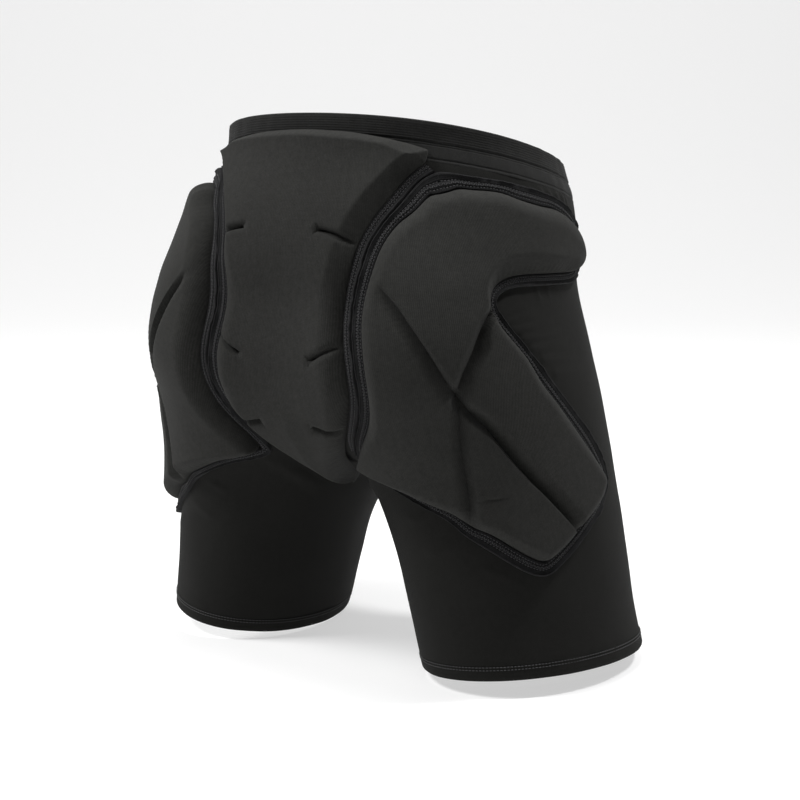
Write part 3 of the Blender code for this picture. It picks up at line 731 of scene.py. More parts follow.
def grid_faces(indices, closed):
    """Quads between the rows of a grid of point numbers, facing out when rows run down."""
    below = np.roll(indices, -1, 0)[:-1]
    if closed:
        right = np.roll(indices, -1, 1)
        corners = (indices[:-1], below, np.roll(below, -1, 1), right[:-1])
        return np.stack(corners, -1).reshape(-1, 4)
    corners = (indices[:-1, :-1], below[:, :-1], below[:, 1:], indices[:-1, 1:])
    return np.stack(corners, -1).reshape(-1, 4)


def wall(outer, inner, faces):
    """A closed wall: the outer faces, the same faces turned over on the inside, and the rims between."""
    count = len(outer)
    sides = faces.shape[1]
    edges = np.concatenate([faces[:, [k, (k + 1) % sides]] for k in range(sides)])
    known = set(map(tuple, edges.tolist()))
    rims = [(b, a, a + count, b + count) for a, b in map(tuple, edges.tolist()) if (b, a) not in known]
    turned = faces[:, ::-1] + count
    return np.concatenate([outer, inner]), [*faces.tolist(), *turned.tolist(), *sorted(rims)]


def build(name, points, faces, weave, cloth, slot, mirrored=False):
    """One mesh piece on the garment. Weave is each point's place in the cloth, in metres."""
    if mirrored:
        points = points * [-1, 1, 1]
        faces = [face[::-1] for face in faces]
    mesh = bpy.data.meshes.new(name)
    mesh.from_pydata(points.tolist(), [], faces)
    layer = mesh.uv_layers.new(name="weave")
    corner = np.zeros(len(mesh.loops), np.int32)
    mesh.loops.foreach_get("vertex_index", corner)
    layer.data.foreach_set("uv", weave[corner].astype(np.float32).ravel())
    mesh.shade_smooth()
    mesh.set_sharp_from_angle(angle=math.radians(SHARP_EDGE))
    mesh.materials.append(cloth)
    piece = bpy.data.objects.new(name, mesh)
    bpy.context.scene.collection.objects.link(piece)
    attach(piece, "root")
    return piece


def both_sides(name, shape, cloth, slot, node):
    """A piece on each side, in place of the solid of that name on the same side."""
    made = []
    for hand, mirrored in (("left", False), ("right", True)):
        points, faces, weave = shape
        piece = build(f"{name}_{hand}", points, faces, weave, cloth, slot, mirrored)
        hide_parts(f"{node}_{hand}")
        made.append(piece)
    return made


def add_node(tree, kind, settings=(), inputs=()):
    """A shader node with its settings made and its inputs set or linked. Returns its outputs."""
    made = tree.nodes.new(kind)
    for key, value in dict(settings).items():
        setattr(made, key, value)
    for key, value in dict(inputs).items():
        if isinstance(value, bpy.types.NodeSocket):
            tree.links.new(value, made.inputs[key])
        else:
            made.inputs[key].default_value = value
    return made.outputs


def calc(tree, operation, a, b=0.0):
    """One step of arithmetic in a material."""
    return add_node(tree, "ShaderNodeMath", {"operation": operation}, {0: a, 1: b})[0]


def noise(tree, vector, scale, detail=2.0):
    """Smooth noise from 0 to 1."""
    inputs = {"Vector": vector, "Scale": scale, "Detail": detail}
    return add_node(tree, "ShaderNodeTexNoise", inputs=inputs)["Fac"]


def between(tree, value, low, high, start=0.0, end=1.0):
    """A value between start and end carried to the range from low to high, and held beyond it."""
    inputs = {"Value": value, "From Min": start, "From Max": end, "To Min": low, "To Max": high}
    return add_node(tree, "ShaderNodeMapRange", inputs=inputs)[0]


def knit(tree, across, along, loop_width, loop_height):
    """The height of a plain knit: V-shaped loops in columns."""
    column = calc(tree, "PINGPONG", calc(tree, "DIVIDE", across, loop_width), 0.5)
    row = calc(tree, "PINGPONG", calc(tree, "ADD", calc(tree, "DIVIDE", along, loop_height), column), 0.5)
    return calc(tree, "ADD", calc(tree, "MULTIPLY", column, COLUMN_RELIEF), row)


def paint_hole_shade(tree, across, along):
    """One where the cloth shows, near zero in the needle holes along the tape's two needle lines: painted
    shade in the holes.
    """
    beside = calc(tree, "PINGPONG", along, NEEDLE_STITCH["pitch"] / 2)
    shade = 1.0
    for line in NEEDLE_LINES:
        apart = calc(tree, "ABSOLUTE", calc(tree, "SUBTRACT", across, line))
        squares = calc(tree, "ADD", calc(tree, "POWER", apart, 2), calc(tree, "POWER", beside, 2))
        reach = calc(tree, "SQRT", squares)
        unshaded_cloth = between(tree, reach, HOLE_SHADE, 1.0, HOLE_SHADE_DARKEST, HOLE_SHADE_ENDS)
        shade = calc(tree, "MULTIPLY", unshaded_cloth, shade)
    return shade


def new_material(name, specular, sheen):
    """A material with its node tree and its shader."""
    made = bpy.data.materials.new(name)
    made.use_nodes = True
    shader = made.node_tree.nodes["Principled BSDF"]
    shader.inputs["Metallic"].default_value = 0.0
    shader.inputs["Specular IOR Level"].default_value = specular
    shader.inputs["Sheen Weight"].default_value = sheen
    return made, made.node_tree, shader


def finish_material(tree, shader, colour, shade, roughness, bump):
    """Give a shader its colour times a shade, its roughness and its bumps."""
    tinted = add_node(
        tree, "ShaderNodeVectorMath", {"operation": "SCALE"}, {0: colour, "Scale": shade}
    )["Vector"]
    tree.links.new(tinted, shader.inputs["Base Color"])
    tree.links.new(roughness, shader.inputs["Roughness"])
    tree.links.new(add_node(tree, "ShaderNodeBump", inputs=bump)["Normal"], shader.inputs["Normal"])


def cloth_material(name, colour, loop, relief, grain, sheen, roughness, streaks, with_hole_shade=False):
    """A knit cloth. Loop is a knit loop's width and height, relief the height of its bumps in metres,
    grain how much the colour varies from loop to loop, and streaks how much it varies between columns.
    """
    made, tree, shader = new_material(name, CLOTH_SPECULAR, sheen)
    shader.inputs["Sheen Roughness"].default_value = SHEEN_ROUGHNESS
    weave = add_node(tree, "ShaderNodeUVMap", {"uv_map": "weave"})["UV"]
    split = add_node(tree, "ShaderNodeSeparateXYZ", inputs={0: weave})
    place = add_node(tree, "ShaderNodeTexCoord")["Object"]
    loops = knit(tree, split["X"], split["Y"], *loop)
    fine = noise(tree, place, 1 / loop[0], 3.0)
    drawn_out = add_node(
        tree, "ShaderNodeVectorMath", {"operation": "MULTIPLY"}, {0: weave, 1: STREAK_RUN}
    )["Vector"]
    patterns = (
        (loops, grain),
        (fine, FINE_GRAIN * grain),
        (noise(tree, place, BROAD_SCALE), BROAD_CHANGE),
        (noise(tree, place, WEAR_SCALE, 4.0), grain),
        (noise(tree, drawn_out, STREAK_SCALE, 3.0), streaks),
    )
    # Painted shade: the needle holes darken the colour here.
    shade = paint_hole_shade(tree, split["X"], split["Y"]) if with_hole_shade else 1.0
    for pattern, change in patterns:
        shade = calc(tree, "MULTIPLY", shade, between(tree, pattern, 1 - change, 1 + change))
    height = calc(tree, "ADD", loops, calc(tree, "MULTIPLY", fine, FINE_RELIEF))
    bump = {"Distance": relief, "Strength": BUMP_STRENGTH, "Height": height}
    rough = between(tree, fine, roughness - ROUGHNESS_BELOW, roughness + ROUGHNESS_ABOVE)
    finish_material(tree, shader, colour, shade, rough, bump)
    return made


def thread_material(name, colour):
    """Twisted sewing thread."""
    made, tree, shader = new_material(name, THREAD_SPECULAR, THREAD_SHEEN)
    fibre = noise(tree, add_node(tree, "ShaderNodeTexCoord")["Object"], FIBRE_SCALE, 3.0)
    shade = between(tree, fibre, 1 - FIBRE_CHANGE, 1 + FIBRE_CHANGE)
    bump = {"Distance": FIBRE_RELIEF, "Height": fibre}
    finish_material(tree, shader, colour, shade, between(tree, fibre, 0.55, 0.75), bump)
    return made


SHELL_CLOTH = cloth_material(
    "shell_knit", SHELL_COLOUR, loop=(0.0008, 0.0007), relief=0.00012, grain=0.16,
    sheen=0.015, roughness=0.86, streaks=0.08,
)
PAD_CLOTH = cloth_material(
    "pad_knit", PAD_COLOUR, loop=(0.0011, 0.0009), relief=0.00020, grain=0.26,
    sheen=0.02, roughness=0.84, streaks=0.12,
)
BAND_CLOTH = cloth_material(
    "band_elastic", BAND_COLOUR, loop=(0.0012, 0.0006), relief=0.00016, grain=0.18,
    sheen=0.02, roughness=0.80, streaks=0.10,
)
# The tape's colour carries painted shade in its needle holes.
TAPE_CLOTH = cloth_material(
    "tape_overlock", TAPE_COLOUR, loop=(0.0009, 0.0013), relief=0.00028, grain=0.34,
    sheen=0.02, roughness=0.82, streaks=0.10, with_hole_shade=True,
)
THREAD = thread_material("sewing_thread", THREAD_COLOUR)


def waist_edge(share, drop):
    """Points of the left half, a drop below the waist's edge, from front centre (0) to back centre (1)."""
    share, drop = np.broadcast_arrays(np.asarray(share, float), np.asarray(drop, float))
    z = -drop
    for _ in range(EDGE_ROUNDS):
        angle = centre_angle(z, -1) * (1 - share) + centre_angle(z, 1) * share
        points = on_form(angle, z)
        z = WAIST_TILT * (points[..., 1] - WAIST_CENTRE_BACK) - drop
    return points, angle


def hem_edge(angle, rise):
    """Points of the left leg, a rise above the hem's edge."""
    angle, rise = np.broadcast_arrays(np.asarray(angle, float), np.asarray(rise, float))
    hem = section_at(-OUTSEAM)
    z = rise - OUTSEAM
    for _ in range(EDGE_ROUNDS):
        points = on_form(angle, z)
        outward = points[..., 0] - hem["axis_out"]
        backward = points[..., 1] - hem["axis_back"]
        z = rise - OUTSEAM + HEM_RISE_OUTWARD * outward + HEM_RISE_BACKWARD * backward
    return points


def saddle_curve(columns):
    """The form's line in the plane X = 0 below LEG_START, from the back round the crotch to the front."""
    start = -LEG_START * OUTSEAM
    section = section_at(start)
    back = section["axis_back"] - section["axis_out"] * math.tan(float(centre_angle(start, 1)))
    front = section["axis_back"] - section["axis_out"] * math.tan(float(centre_angle(start, -1)))
    middle = (back + front) / 2
    furthest = back - front
    turn = np.linspace(0, math.pi, columns)[1:-1]

    def at(reach):
        y = middle + reach * np.cos(turn)
        return np.stack([0 * y, y, start - reach * np.sin(turn)], -1)

    def inside(reach):
        points = at(reach)
        return form_value(points[:, 0], points[:, 1], section_at(points[:, 2])) < 0

    return at(solve(inside, 0 * turn, 0 * turn + furthest))


def fold_height(places):
    """The shell's folds and gathers, as a height at each place."""
    height = np.zeros(len(places))
    rows = SHELL_FOLDS
    starts = places_of(rows)
    ends = places_of({"angle": rows["angle_end"], "down": rows["down_end"]})
    for start, end, top, width in zip(starts, ends, rows["height"], rows["width"]):
        span = end - start
        t = (places - start) @ span / (span @ span)
        apart = np.linalg.norm(places - start - np.clip(t, 0, 1)[:, None] * span, axis=1)
        taper = np.clip(FOLD_END - t, 0, 1) * np.clip(1 + t / FOLD_LEAD_IN, 0, 1)
        height += 0.001 * top * taper * np.exp(-((apart / (0.001 * width)) ** 2))
    return height


def shell_shape():
    """Half of the shell: the torso from the waistband down, and one whole leg."""
    start = -LEG_START * OUTSEAM
    columns = TORSO_COLUMNS
    share = np.interp(np.linspace(0, 1, columns), COLUMN_SPACING["at"], COLUMN_SPACING["share"])[None, :]
    fall = np.linspace(0, 1, TORSO_ROWS + 1)[:, None]
    top, _ = waist_edge(share, WAISTBAND_HEIGHT - SEAM_OVERLAP)
    z = top[..., 2] * (1 - fall) + start * fall
    angle = centre_angle(z, -1) * (1 - share) + centre_angle(z, 1) * share
    torso = on_form(angle, z)
    torso[:, [0, -1], 0] = 0

    saddle = saddle_curve(INSEAM_COLUMNS)
    section = section_at(saddle[:, 2])
    inner_angle = np.arctan2(saddle[:, 1] - section["axis_back"], -section["axis_out"]) % (2 * math.pi)
    leg_angle = np.concatenate([angle[-1], inner_angle])
    leg_top = np.concatenate([torso[-1], saddle])
    leg_foot = hem_edge(leg_angle, HEM_HEIGHT - SEAM_OVERLAP)
    fall = np.linspace(0, 1, LEG_ROWS + 1)[1:, None]
    leg = on_form(leg_angle, leg_top[:, 2] * (1 - fall) + leg_foot[:, 2] * fall)

    outer = np.concatenate([torso.reshape(-1, 3), saddle, leg.reshape(-1, 3)])
    torso_index = np.arange(torso.shape[0] * columns).reshape(-1, columns)
    saddle_index = torso_index.size + np.arange(len(saddle))
    first = np.concatenate([torso_index[-1], saddle_index])[None]
    leg_index = first.max() + 1 + np.arange(leg.shape[0] * leg.shape[1]).reshape(leg.shape[:2])
    faces = np.concatenate(
        [grid_faces(torso_index, False), grid_faces(np.concatenate([first, leg_index]), True)]
    )
    angles = np.concatenate([angle.ravel(), inner_angle, np.tile(leg_angle, leg.shape[0])])
    places = np.stack([angles * UNROLL_RADIUS, outer[:, 2]], -1)
    normal = normals_at(outer)
    height = fold_height(places) + uneven(outer, SHELL_RIPPLES, SHELL_SEED)
    edge = np.zeros(len(outer), bool)
    edge[torso_index[:, [0, -1]].ravel()] = True
    edge[saddle_index] = True
    height[edge] = np.minimum(height[edge], 0)
    moved = outer + normal * height[:, None]
    moved[edge, 0] = 0
    points, faces = wall(moved, moved - SHELL_WALL * normal, faces)
    return points - [SEAM_OVERLAP / 2, 0, 0], faces, np.concatenate([places, places])


def swept(rings, closed):
    """A closed skin over rings of points, with the ends filled where the run is open."""
    count, around = rings.shape[:2]
    index = np.arange(count * around).reshape(count, around)
    run = np.concatenate([index, index[:1]]) if closed else index
    a = run[:-1]
    b = run[1:]
    quads = np.stack([a, np.roll(a, -1, 1), np.roll(b, -1, 1), b], -1).reshape(-1, 4).tolist()
    if not closed:
        quads += [index[0][::-1].tolist(), index[-1].tolist()]
    return rings.reshape(-1, 3), quads


def ring_shape(outer, inner, along, up):
    """A closed ring of cloth from its grids of outer and inner points and their places in the cloth."""
    weave = np.stack(np.broadcast_arrays(along, up), -1).reshape(-1, 2)
    index = np.arange(outer.shape[0] * outer.shape[1]).reshape(outer.shape[:2])
    points, faces = wall(outer.reshape(-1, 3), inner.reshape(-1, 3), grid_faces(index, True))
    return points, faces, np.concatenate([weave, weave])


def waistband_relief(drop):
    """How far the ribs, needle lines, belly and rounded edges stand out at drops below the edge."""
    relief = np.zeros(len(drop))
    ribbed = (drop > RIBS_START) & (drop < RIBS_END)
    relief[ribbed] += RIB_HEIGHT * np.abs(np.sin(math.pi * drop[ribbed] / RIB_PITCH)) - RIB_SINK
    for line, height, width in zip(*WAISTBAND_LINES.values()):
        relief += height * np.exp(-(((drop - line) / width) ** 2))
    to_edge = np.minimum(drop, WAISTBAND_HEIGHT - drop)
    return relief - BAND_ROUNDING * (1 - np.clip(to_edge / BAND_ROUND_WIDTH, 0, 1)) ** 2


def waistband_shape():
    """The elastic ring: ribs above a needle line, a smoother band below it, and rounded edges."""
    share = np.linspace(0, 1, WAISTBAND_COLUMNS)[None, :]
    drop = np.linspace(0, WAISTBAND_HEIGHT, WAISTBAND_ROWS)
    relief = waistband_relief(drop)
    left, angle = waist_edge(share, drop[:, None])
    left[:, [0, -1], 0] = 0
    normal = normals_at(left)
    squashed = left.reshape(-1, 3) * BAND_RIPPLE_SQUASH
    pucker = uneven(squashed, BAND_RIPPLES, BAND_SEED).reshape(left.shape[:2])
    outer = left + normal * (relief[:, None] + pucker)[..., None]
    inner = left - normal * (WAISTBAND_WALL + np.minimum(relief, 0))[:, None, None]
    rings = []
    for half in (outer, inner):
        half[:, [0, -1], 0] = 0
        rings.append(np.concatenate([half, half[:, -2:0:-1] * [-1, 1, 1]], 1))
    along = np.concatenate([angle, 2 * math.pi - angle[:, -2:0:-1]], 1) * UNROLL_RADIUS
    return ring_shape(*rings, along, -drop[:, None])


def hem_shape():
    """The folded hem: a tucked upper edge, a soft belly and a rounded lower edge."""
    angle = np.linspace(0, 2 * math.pi, HEM_COLUMNS, endpoint=False)[None, :]
    rise = np.linspace(HEM_HEIGHT, 0, HEM_ROWS)[:, None]
    profile = np.interp(rise, HEM_SECTION["rise"], HEM_SECTION["height"])
    middle = hem_edge(angle, rise)
    normal = normals_at(middle)
    bumps = uneven(middle.reshape(-1, 3), HEM_RIPPLES, HEM_SEED).reshape(middle.shape[:2])
    outer = middle + normal * (0.001 * profile + bumps)[..., None]
    inner = middle - normal * (HEM_WALL - HEM_FOLD + 0.001 * np.minimum(profile, 0))[..., None]
    return ring_shape(outer, inner, angle * UNROLL_RADIUS, rise)


def hip_outline(step):
    """A hip panel's whole outline, going round anticlockwise as seen from outside."""
    rows = np.concatenate([places_of(PANEL_SEAM), places_of(HIP_OUTLINE)])
    return smooth_line(rows, step, True)[::-1]


def tailbone_seam(step):
    """The panel seam in the tailbone's chart, on the wearer's left, from the waistband down."""
    z = -PANEL_SEAM["down"] * OUTSEAM
    from_centre = centre_angle(z, 1) - np.radians(PANEL_SEAM["angle"])
    return smooth_line(np.stack([-from_centre * UNROLL_RADIUS, z], -1), step, False)


def tape_shape(chart, line, closed, seed, scale=1.0):
    """A sewn tape laid on the form, left of a line."""
    across = TAPE_SECTION["across"] / 1000
    section = TAPE_SECTION["height"]
    lines = side_lines(chart, line, across, closed, scale)
    along = np.arange(lines.shape[1]) * TAPE_STEP
    height = np.broadcast_to(section[:, None] / 1000, lines.shape[:2]).copy()
    spots = np.stack([along, 0 * along, 0 * along], -1)
    raw_edge = np.clip(section - RAW_EDGE_ABOVE, 0, 1)[:, None]
    height += raw_edge * uneven(spots, RAW_EDGE_RIPPLES, seed)
    belly = (section > BELLY_ABOVE)[:, None]
    wave = np.sin(2 * math.pi * along / TAPE_PUCKER_PITCH + TAPE_PUCKER_SLANT * across[:, None])
    height += belly * TAPE_PUCKER * wave
    points, faces = swept(above(chart, lines, height).transpose(1, 0, 2), closed)
    weave = np.stack(np.broadcast_arrays(across[None, :], along[:, None]), -1).reshape(-1, 2)
    return points, faces, weave


def hex_places(outline):
    """An even filling of places over an outline's box."""
    low = outline.min(0)
    high = outline.max(0)
    rows = np.arange(low[1], high[1], PAD_STEP * math.sqrt(3) / 2)
    across = np.arange(low[0], high[0], PAD_STEP)
    grid = np.stack(np.broadcast_arrays(across[None, :], rows[:, None]), -1).copy()
    grid[1::2, :, 0] += PAD_STEP / 2
    return grid.reshape(-1, 2)


def groove_line(rows, side):
    """A groove as a smooth line of places, each with its depth and its flanks."""
    columns = [rows[name] for name in GROOVE_COLUMNS.split()[2:]]
    return smooth_line(np.column_stack([places_of(rows, side), *columns]), PAD_STEP, False)


def groove_runs(chart, grooves, rim):
    """Lines along each groove and beside it, clear of the rim and of the lines before them."""
    kept_runs = []
    for groove in grooves:
        middle = groove[:, :2]
        runs = [middle]
        for turned in (middle, middle[::-1]):
            runs += list(side_lines(chart, turned, GROOVE_ROWS, False))
        for run in runs:
            kept = run[points_within(run, rim) & (distance_to(run, rim, True)[0] > RUN_GAP)]
            for other in kept_runs:
                if len(kept):
                    kept = kept[distance_to(kept, other, False)[0] > CROSSING_GAP]
            if len(kept) > 1:
                kept_runs.append(kept)
    return kept_runs


def pad_mesh(chart, outline, grooves):
    """A pad's places and faces on its chart: rings along the edge, lines along grooves and a filling."""
    rings = [outline, *(side_lines(chart, outline, [distance], True)[0] for distance in EDGE_RINGS)]
    rim = rings[-1]
    filling = hex_places(outline)
    filling = filling[points_within(filling, rim) & (distance_to(filling, rim, True)[0] > FILLING_GAP)]
    for groove in grooves:
        apart = distance_to(filling, groove[:, :2], False)[0]
        filling = filling[apart > GROOVE_ROWS[-1] + FILLING_GAP]
    edges = []
    places = np.zeros((0, 2))
    for ring in rings:
        first = len(places)
        edges += [(first + i, first + (i + 1) % len(ring)) for i in range(len(ring))]
        places = np.concatenate([places, ring])
    for run in groove_runs(chart, grooves, rim):
        first = len(places)
        steps = np.linalg.norm(np.diff(run, axis=0), axis=1)
        edges += [(first + i, first + i + 1) for i in range(len(run) - 1) if steps[i] < LONGEST_LINK]
        places = np.concatenate([places, run])
    places = np.concatenate([places, filling])
    inside_only = 1
    found = delaunay_2d_cdt([Vector(place) for place in places], edges, [], inside_only, 1e-7)
    return np.array([tuple(place) for place in found[0]]), np.array(found[2])


def pressed_in(chart, flat, base, groove, crown, thickness):
    """How far a groove lowers each place, less the small puckers beside it."""
    line = groove[:, :2]
    _, met, offset = distance_to(flat, line, False)
    real = distance_to(base, chart(line), False)[0]
    rows = np.arange(len(line))
    direction = np.gradient(line, axis=0)
    turn = [np.interp(met, rows, direction[:, k]) for k in (0, 1)]
    back = turn[0] * offset[:, 1] - turn[1] * offset[:, 0] > 0
    depth, back_flank, front_flank = (np.interp(met, rows, groove[:, k]) for k in (2, 3, 4))
    flank = 0.001 * np.where(back, back_flank, front_flank)
    share = np.clip(real / flank, 0, 1)
    dip = (1 - share) ** 1.6 * (1 + 0.6 * share)
    pucker = np.exp(-((real / (GROOVE_PUCKER_FLANKS * flank)) ** 2)) * np.minimum(depth * 3, 1)
    wave = np.sin(2 * math.pi * met * PAD_STEP / GROOVE_PUCKER_PITCH)
    return crown * (thickness * depth * dip - GROOVE_PUCKER * pucker * wave)


def pad_shape(chart, outline, groove_tables, shoulders, thickness, lift, mirror_rows, seed):
    """A crowned pad inside an outline, with shoulders that vary along its edge and pressed-in grooves."""
    grooves = [groove_line(rows, side) for rows, side in groove_tables]
    flat, faces = pad_mesh(chart, outline, grooves)
    base = chart(flat)
    from_edge, along, _ = distance_to(base, chart(outline), True)
    names = ("width", "softness", "bevel", "edge")
    width, softness, bevel, edge = blended(flat, shoulders, names, mirror_rows)
    rise = np.clip(from_edge / (0.001 * width), 0, 1)
    crown = bevel * rise + (1 - bevel) * (1 - (1 - rise) ** 2) ** softness
    edge = 0.001 * edge
    height = edge + (thickness - edge) * crown
    for groove in grooves:
        height -= pressed_in(chart, flat, base, groove, crown, thickness)
    near = np.exp(-((from_edge / SEAM_PUCKER_REACH) ** 2))
    near *= 1 - np.exp(-((from_edge / SEAM_PUCKER_START) ** 2))
    height += SEAM_PUCKER * near * np.sin(2 * math.pi * along * OUTLINE_STEP / SEAM_PUCKER_PITCH)
    height += crown * uneven(base, PAD_RIPPLES, seed)
    stand_off = lift(flat) if lift else 0 * height
    top = above(chart, flat, stand_off + height)
    bottom = above(chart, flat, stand_off + PAD_UNDERSIDE)
    points, faces = wall(top, bottom, faces)
    return points, faces, np.concatenate([flat, flat])


def stitch_row(chart, line, height, pitch, length, radius, slant=0.0):
    """Short thread stitches along a line of places, each a small spindle, slanted to either side."""
    spots = above(chart, line, height)
    ahead = np.gradient(spots, axis=0)
    ahead /= np.linalg.norm(ahead, axis=1, keepdims=True)
    up = normals_at(chart(line))
    sideways = np.cross(up, ahead)
    travelled = np.concatenate([[0], np.cumsum(np.linalg.norm(np.diff(spots, axis=0), axis=1))])
    centres = np.arange(pitch / 2, travelled[-1] - pitch / 2, pitch)
    rings = np.array(STITCH_RINGS)
    turns = np.linspace(0, 2 * math.pi, STITCH_CORNERS, endpoint=False)
    points = []
    faces = []
    for number, centre in enumerate(centres):
        at = np.array([np.interp(centre, travelled, spots[:, k]) for k in range(3)])
        nearest = min(np.searchsorted(travelled, centre), len(spots) - 1)
        tilt = slant if number % 2 else -slant
        run = ahead[nearest] * math.cos(tilt) + sideways[nearest] * math.sin(tilt)
        side = np.cross(up[nearest], run)
        first = len(points) * len(rings) * STITCH_CORNERS
        round_it = side * np.cos(turns)[:, None] + up[nearest] * np.sin(turns)[:, None]
        body = at + run * (rings[:, 0] * length)[:, None, None]
        body = body + round_it[None] * (rings[:, 1] * radius)[:, None, None]
        points.append(body.reshape(-1, 3))
        index = first + np.arange(len(rings) * STITCH_CORNERS).reshape(len(rings), STITCH_CORNERS)
        turned = np.roll(index, -1, 1)
        quads = np.stack([index[:-1], turned[:-1], turned[1:], index[1:]], -1)
        faces += quads.reshape(-1, 4).tolist()
        faces += [index[0][::-1].tolist(), index[-1].tolist()]
    return np.concatenate(points), faces


def joined(shapes):
    """Several shapes of points and faces as one."""
    points = []
    faces = []
    count = 0
    for part_points, part_faces in shapes:
        points.append(part_points)
        faces += [[number + count for number in face] for face in part_faces]
        count += len(part_points)
    points = np.concatenate(points)
    return points, faces, points[:, :2]


def looped(line):
    """A closed line with its first places again at the end."""
    return np.concatenate([line, line[:2]])


def tape_stitches(chart, line, closed, scale=1.0):
    """A tape's two needle rows and the slanted cover threads between them."""
    near, far = side_lines(chart, line, NEEDLE_LINES, closed, scale)
    middle = (near + far) / 2
    if closed:
        near, middle, far = looped(near), looped(middle), looped(far)
    return joined(
        [
            stitch_row(chart, near, NEEDLE_HEIGHTS[0], **NEEDLE_STITCH),
            stitch_row(chart, far, NEEDLE_HEIGHTS[1], **NEEDLE_STITCH),
            stitch_row(chart, middle, COVER_HEIGHT, **COVER_STITCH),
        ]
    )


def hem_stitches():
    """Twin cover stitches along a hem's fold."""
    angle = np.linspace(0, 2 * math.pi, HEM_STITCH_SAMPLES)
    rows = []
    for rise in HEM_NEEDLE_LINES:
        line = np.stack([angle * UNROLL_RADIUS, hem_edge(angle, rise)[:, 2]], -1)
        rows.append(stitch_row(hip_chart, line, HEM_STITCH_HEIGHT, **HEM_STITCH))
    return joined(rows)


def hip_pad_edge():
    """A hip pad's edge, inside its tape."""
    outline = hip_outline(OUTLINE_STEP)
    widths = blended(outline, TAPE_WIDTHS, ("share",))[0]
    edge = side_lines(hip_chart, outline, [PAD_INSET], True, widths)[0]
    edge = even_line(np.concatenate([edge, edge[:1]]), OUTLINE_STEP, True)
    return eased(edge, True, HIP_EDGE_EASINGS)


def tailbone_pad_edge():
    """The tailbone pad's edge: its top and bottom, and its sides inside the tapes."""
    side = side_lines(tailbone_chart, tailbone_seam(OUTLINE_STEP), [PAD_INSET], False)[0]
    top = smooth_line(places_of(TAILBONE_TOP, -1), OUTLINE_STEP, False)
    bottom = smooth_line(places_of(TAILBONE_BOTTOM, -1), OUTLINE_STEP, False)
    below_top = side[:, 1] < top[0, 1] - 2 * OUTLINE_STEP
    above_bottom = side[:, 1] > bottom[-1, 1] + 2 * OUTLINE_STEP
    half = np.concatenate([top[::-1], side[below_top & above_bottom], bottom[::-1]])
    edge = np.concatenate([half, half[-2:0:-1] * [-1, 1]])
    edge = even_line(np.concatenate([edge, edge[:1]]), OUTLINE_STEP, True)
    return eased(edge, True, TAILBONE_EDGE_EASINGS)


shell = both_sides("shell", shell_shape(), SHELL_CLOTH, "shell_fabric", "leg_panel")
hems = both_sides("hem", hem_shape(), SHELL_CLOTH, "shell_fabric", "leg_hem")
band = build("waistband_ring", *waistband_shape(), BAND_CLOTH, "waistband_elastic")
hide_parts("waistband")

hip_line = hip_outline(TAPE_STEP)
hip_widths = blended(hip_line, TAPE_WIDTHS, ("share",))[0]
hip_tape = tape_shape(hip_chart, hip_line, True, HIP_TAPE_SEED, hip_widths)
both_sides("hip_flange", hip_tape, TAPE_CLOTH, "edge_tape", "hip_tape")
seam_line = tailbone_seam(TAPE_STEP)
seam_tape = tape_shape(tailbone_chart, seam_line, False, TAILBONE_TAPE_SEED)
both_sides("tailbone_flange", seam_tape, TAPE_CLOTH, "edge_tape", "tailbone_tape")

hip_creases = [(rows, 1) for rows in (*HIP_GROOVES, HIP_CREASE)]
hip_shape = pad_shape(
    hip_chart, hip_pad_edge(), hip_creases, HIP_SHOULDERS, HIP_PAD_THICKNESS, None, False, HIP_PAD_SEED
)
hip_pads = both_sides("hip_cushion", hip_shape, PAD_CLOTH, "pad_fabric", "hip_pad")
darts = [(rows, hand) for rows in TAILBONE_DARTS for hand in (-1, 1)]
tailbone_shape = pad_shape(
    tailbone_chart, tailbone_pad_edge(), darts, TAILBONE_SHOULDERS, TAILBONE_PAD_THICKNESS,
    cleft_lift, True, TAILBONE_PAD_SEED,
)
tailbone = build("tailbone_cushion", *tailbone_shape, PAD_CLOTH, "pad_fabric")
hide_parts("tailbone_pad")

# The stitching: needle rows and cover threads on the tapes, and cover stitches on the hems
hip_threads = tape_stitches(hip_chart, hip_line, True, hip_widths)
seam_threads = tape_stitches(tailbone_chart, seam_line, False)
hem_threads = hem_stitches()
for hand, mirrored in (("left", False), ("right", True)):
    build(f"hip_flange_thread_{hand}", *hip_threads, THREAD, "edge_tape", mirrored)
    build(f"tailbone_flange_thread_{hand}", *seam_threads, THREAD, "edge_tape", mirrored)
    build(f"hem_thread_{hand}", *hem_threads, THREAD, "shell_fabric", mirrored)


def camera():
    """A camera at the photograph's viewing angle."""
    data = bpy.data.cameras.new("camera")
    data.sensor_width = SENSOR_WIDTH
    data.lens = FOCAL_PIXELS / PICTURE_PIXELS * SENSOR_WIDTH
    made = bpy.data.objects.new("camera", data)
    azimuth = math.radians(CAMERA_AZIMUTH)
    made.location = (
        CAMERA_DISTANCE * math.sin(azimuth),
        -CAMERA_DISTANCE * math.cos(azimuth),
        CAMERA_HEIGHT,
    )
    made.rotation_euler = (
        math.radians(90 - CAMERA_DIP),
        0,
        math.radians(CAMERA_AZIMUTH + CAMERA_TURN),
    )
    bpy.context.scene.collection.objects.link(made)
    bpy.context.scene.camera = made


def area_light(name, azimuth, height, distance, size, power):
    """A soft square light, placed round the garment and aimed at its middle."""
    data = bpy.data.lights.new(name, "AREA")
    data.size = size
    data.energy = power
    made = bpy.data.objects.new(name, data)
    turn = math.radians(azimuth)
    made.location = (distance * math.sin(turn), -distance * math.cos(turn), height)
    made.rotation_euler = (Vector(LIGHT_AIM) - made.location).to_track_quat("-Z", "Y").to_euler()
    bpy.context.scene.collection.objects.link(made)


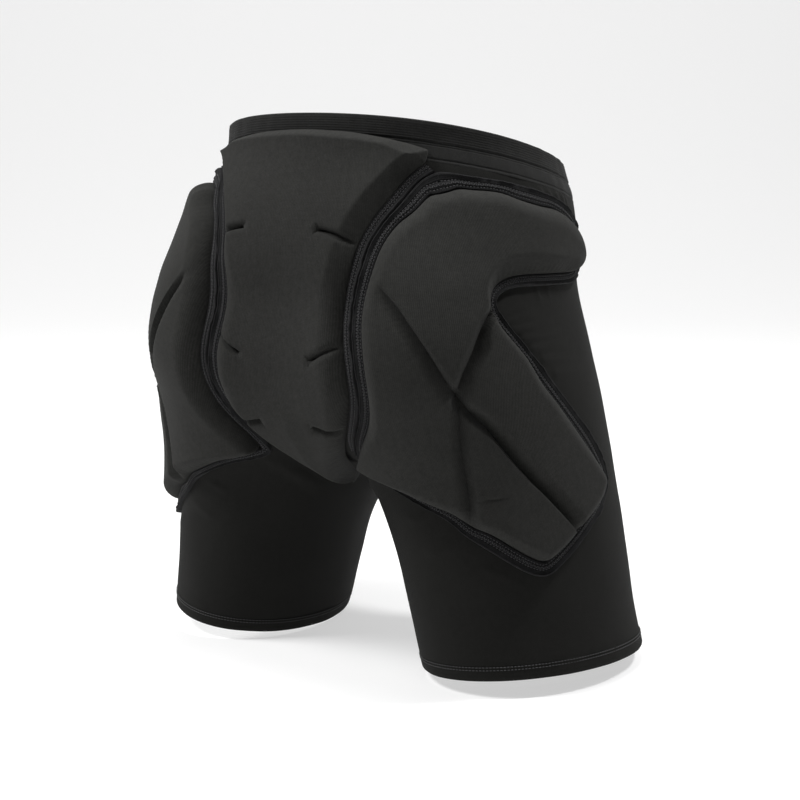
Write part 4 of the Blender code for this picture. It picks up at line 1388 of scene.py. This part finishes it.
def paper():
    """Pale paper that glows a little."""
    made = bpy.data.materials.new("pale_paper")
    made.use_nodes = True
    shader = made.node_tree.nodes["Principled BSDF"]
    shader.inputs["Base Color"].default_value = (*FLOOR_COLOUR, 1)
    shader.inputs["Roughness"].default_value = PAPER_ROUGHNESS
    shader.inputs["Emission Color"].default_value = WHITE
    shader.inputs["Emission Strength"].default_value = PAPER_GLOW
    return made


def sweep():
    """Paper under the garment, bent upwards behind it as the camera sees it."""
    floor_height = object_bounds()[0].z - FLOOR_GAP
    profile = [(SWEEP_FRONT, 0.0), (SWEEP_BACK, 0.0)]
    for t in np.linspace(0, math.pi / 2, SWEEP_ROWS)[1:]:
        profile.append((SWEEP_BACK + SWEEP_BEND * math.sin(t), SWEEP_BEND * (1 - math.cos(t))))
    profile.append((SWEEP_BACK + SWEEP_BEND, SWEEP_TOP))
    azimuth = math.radians(CAMERA_AZIMUTH)
    forward = np.array([-math.sin(azimuth), math.cos(azimuth)])
    across = np.array([forward[1], -forward[0]])
    points = []
    for reach in (-SWEEP_HALF_WIDTH, SWEEP_HALF_WIDTH):
        for run, rise in profile:
            ground = forward * run + across * reach
            points.append((ground[0], ground[1], floor_height + rise))
    count = len(profile)
    mesh = bpy.data.meshes.new("sweep")
    mesh.from_pydata(points, [], [(i, i + count, i + count + 1, i + 1) for i in range(count - 1)])
    mesh.shade_smooth()
    mesh.materials.append(paper())
    made = bpy.data.objects.new("sweep", mesh)
    bpy.context.scene.collection.objects.link(made)
    made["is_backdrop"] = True


def studio():
    """The sweep, a dim white surround and soft lights."""
    sweep()
    world = bpy.data.worlds.new("surround")
    world.use_nodes = True
    world.node_tree.nodes["Background"].inputs["Color"].default_value = WHITE
    world.node_tree.nodes["Background"].inputs["Strength"].default_value = SURROUND_GLOW
    bpy.context.scene.world = world
    for name, (turn, *placing) in LIGHTS.items():
        area_light(name, CAMERA_AZIMUTH + turn, *placing)


camera()
studio()
bpy.context.scene.view_settings.view_transform = "Standard"
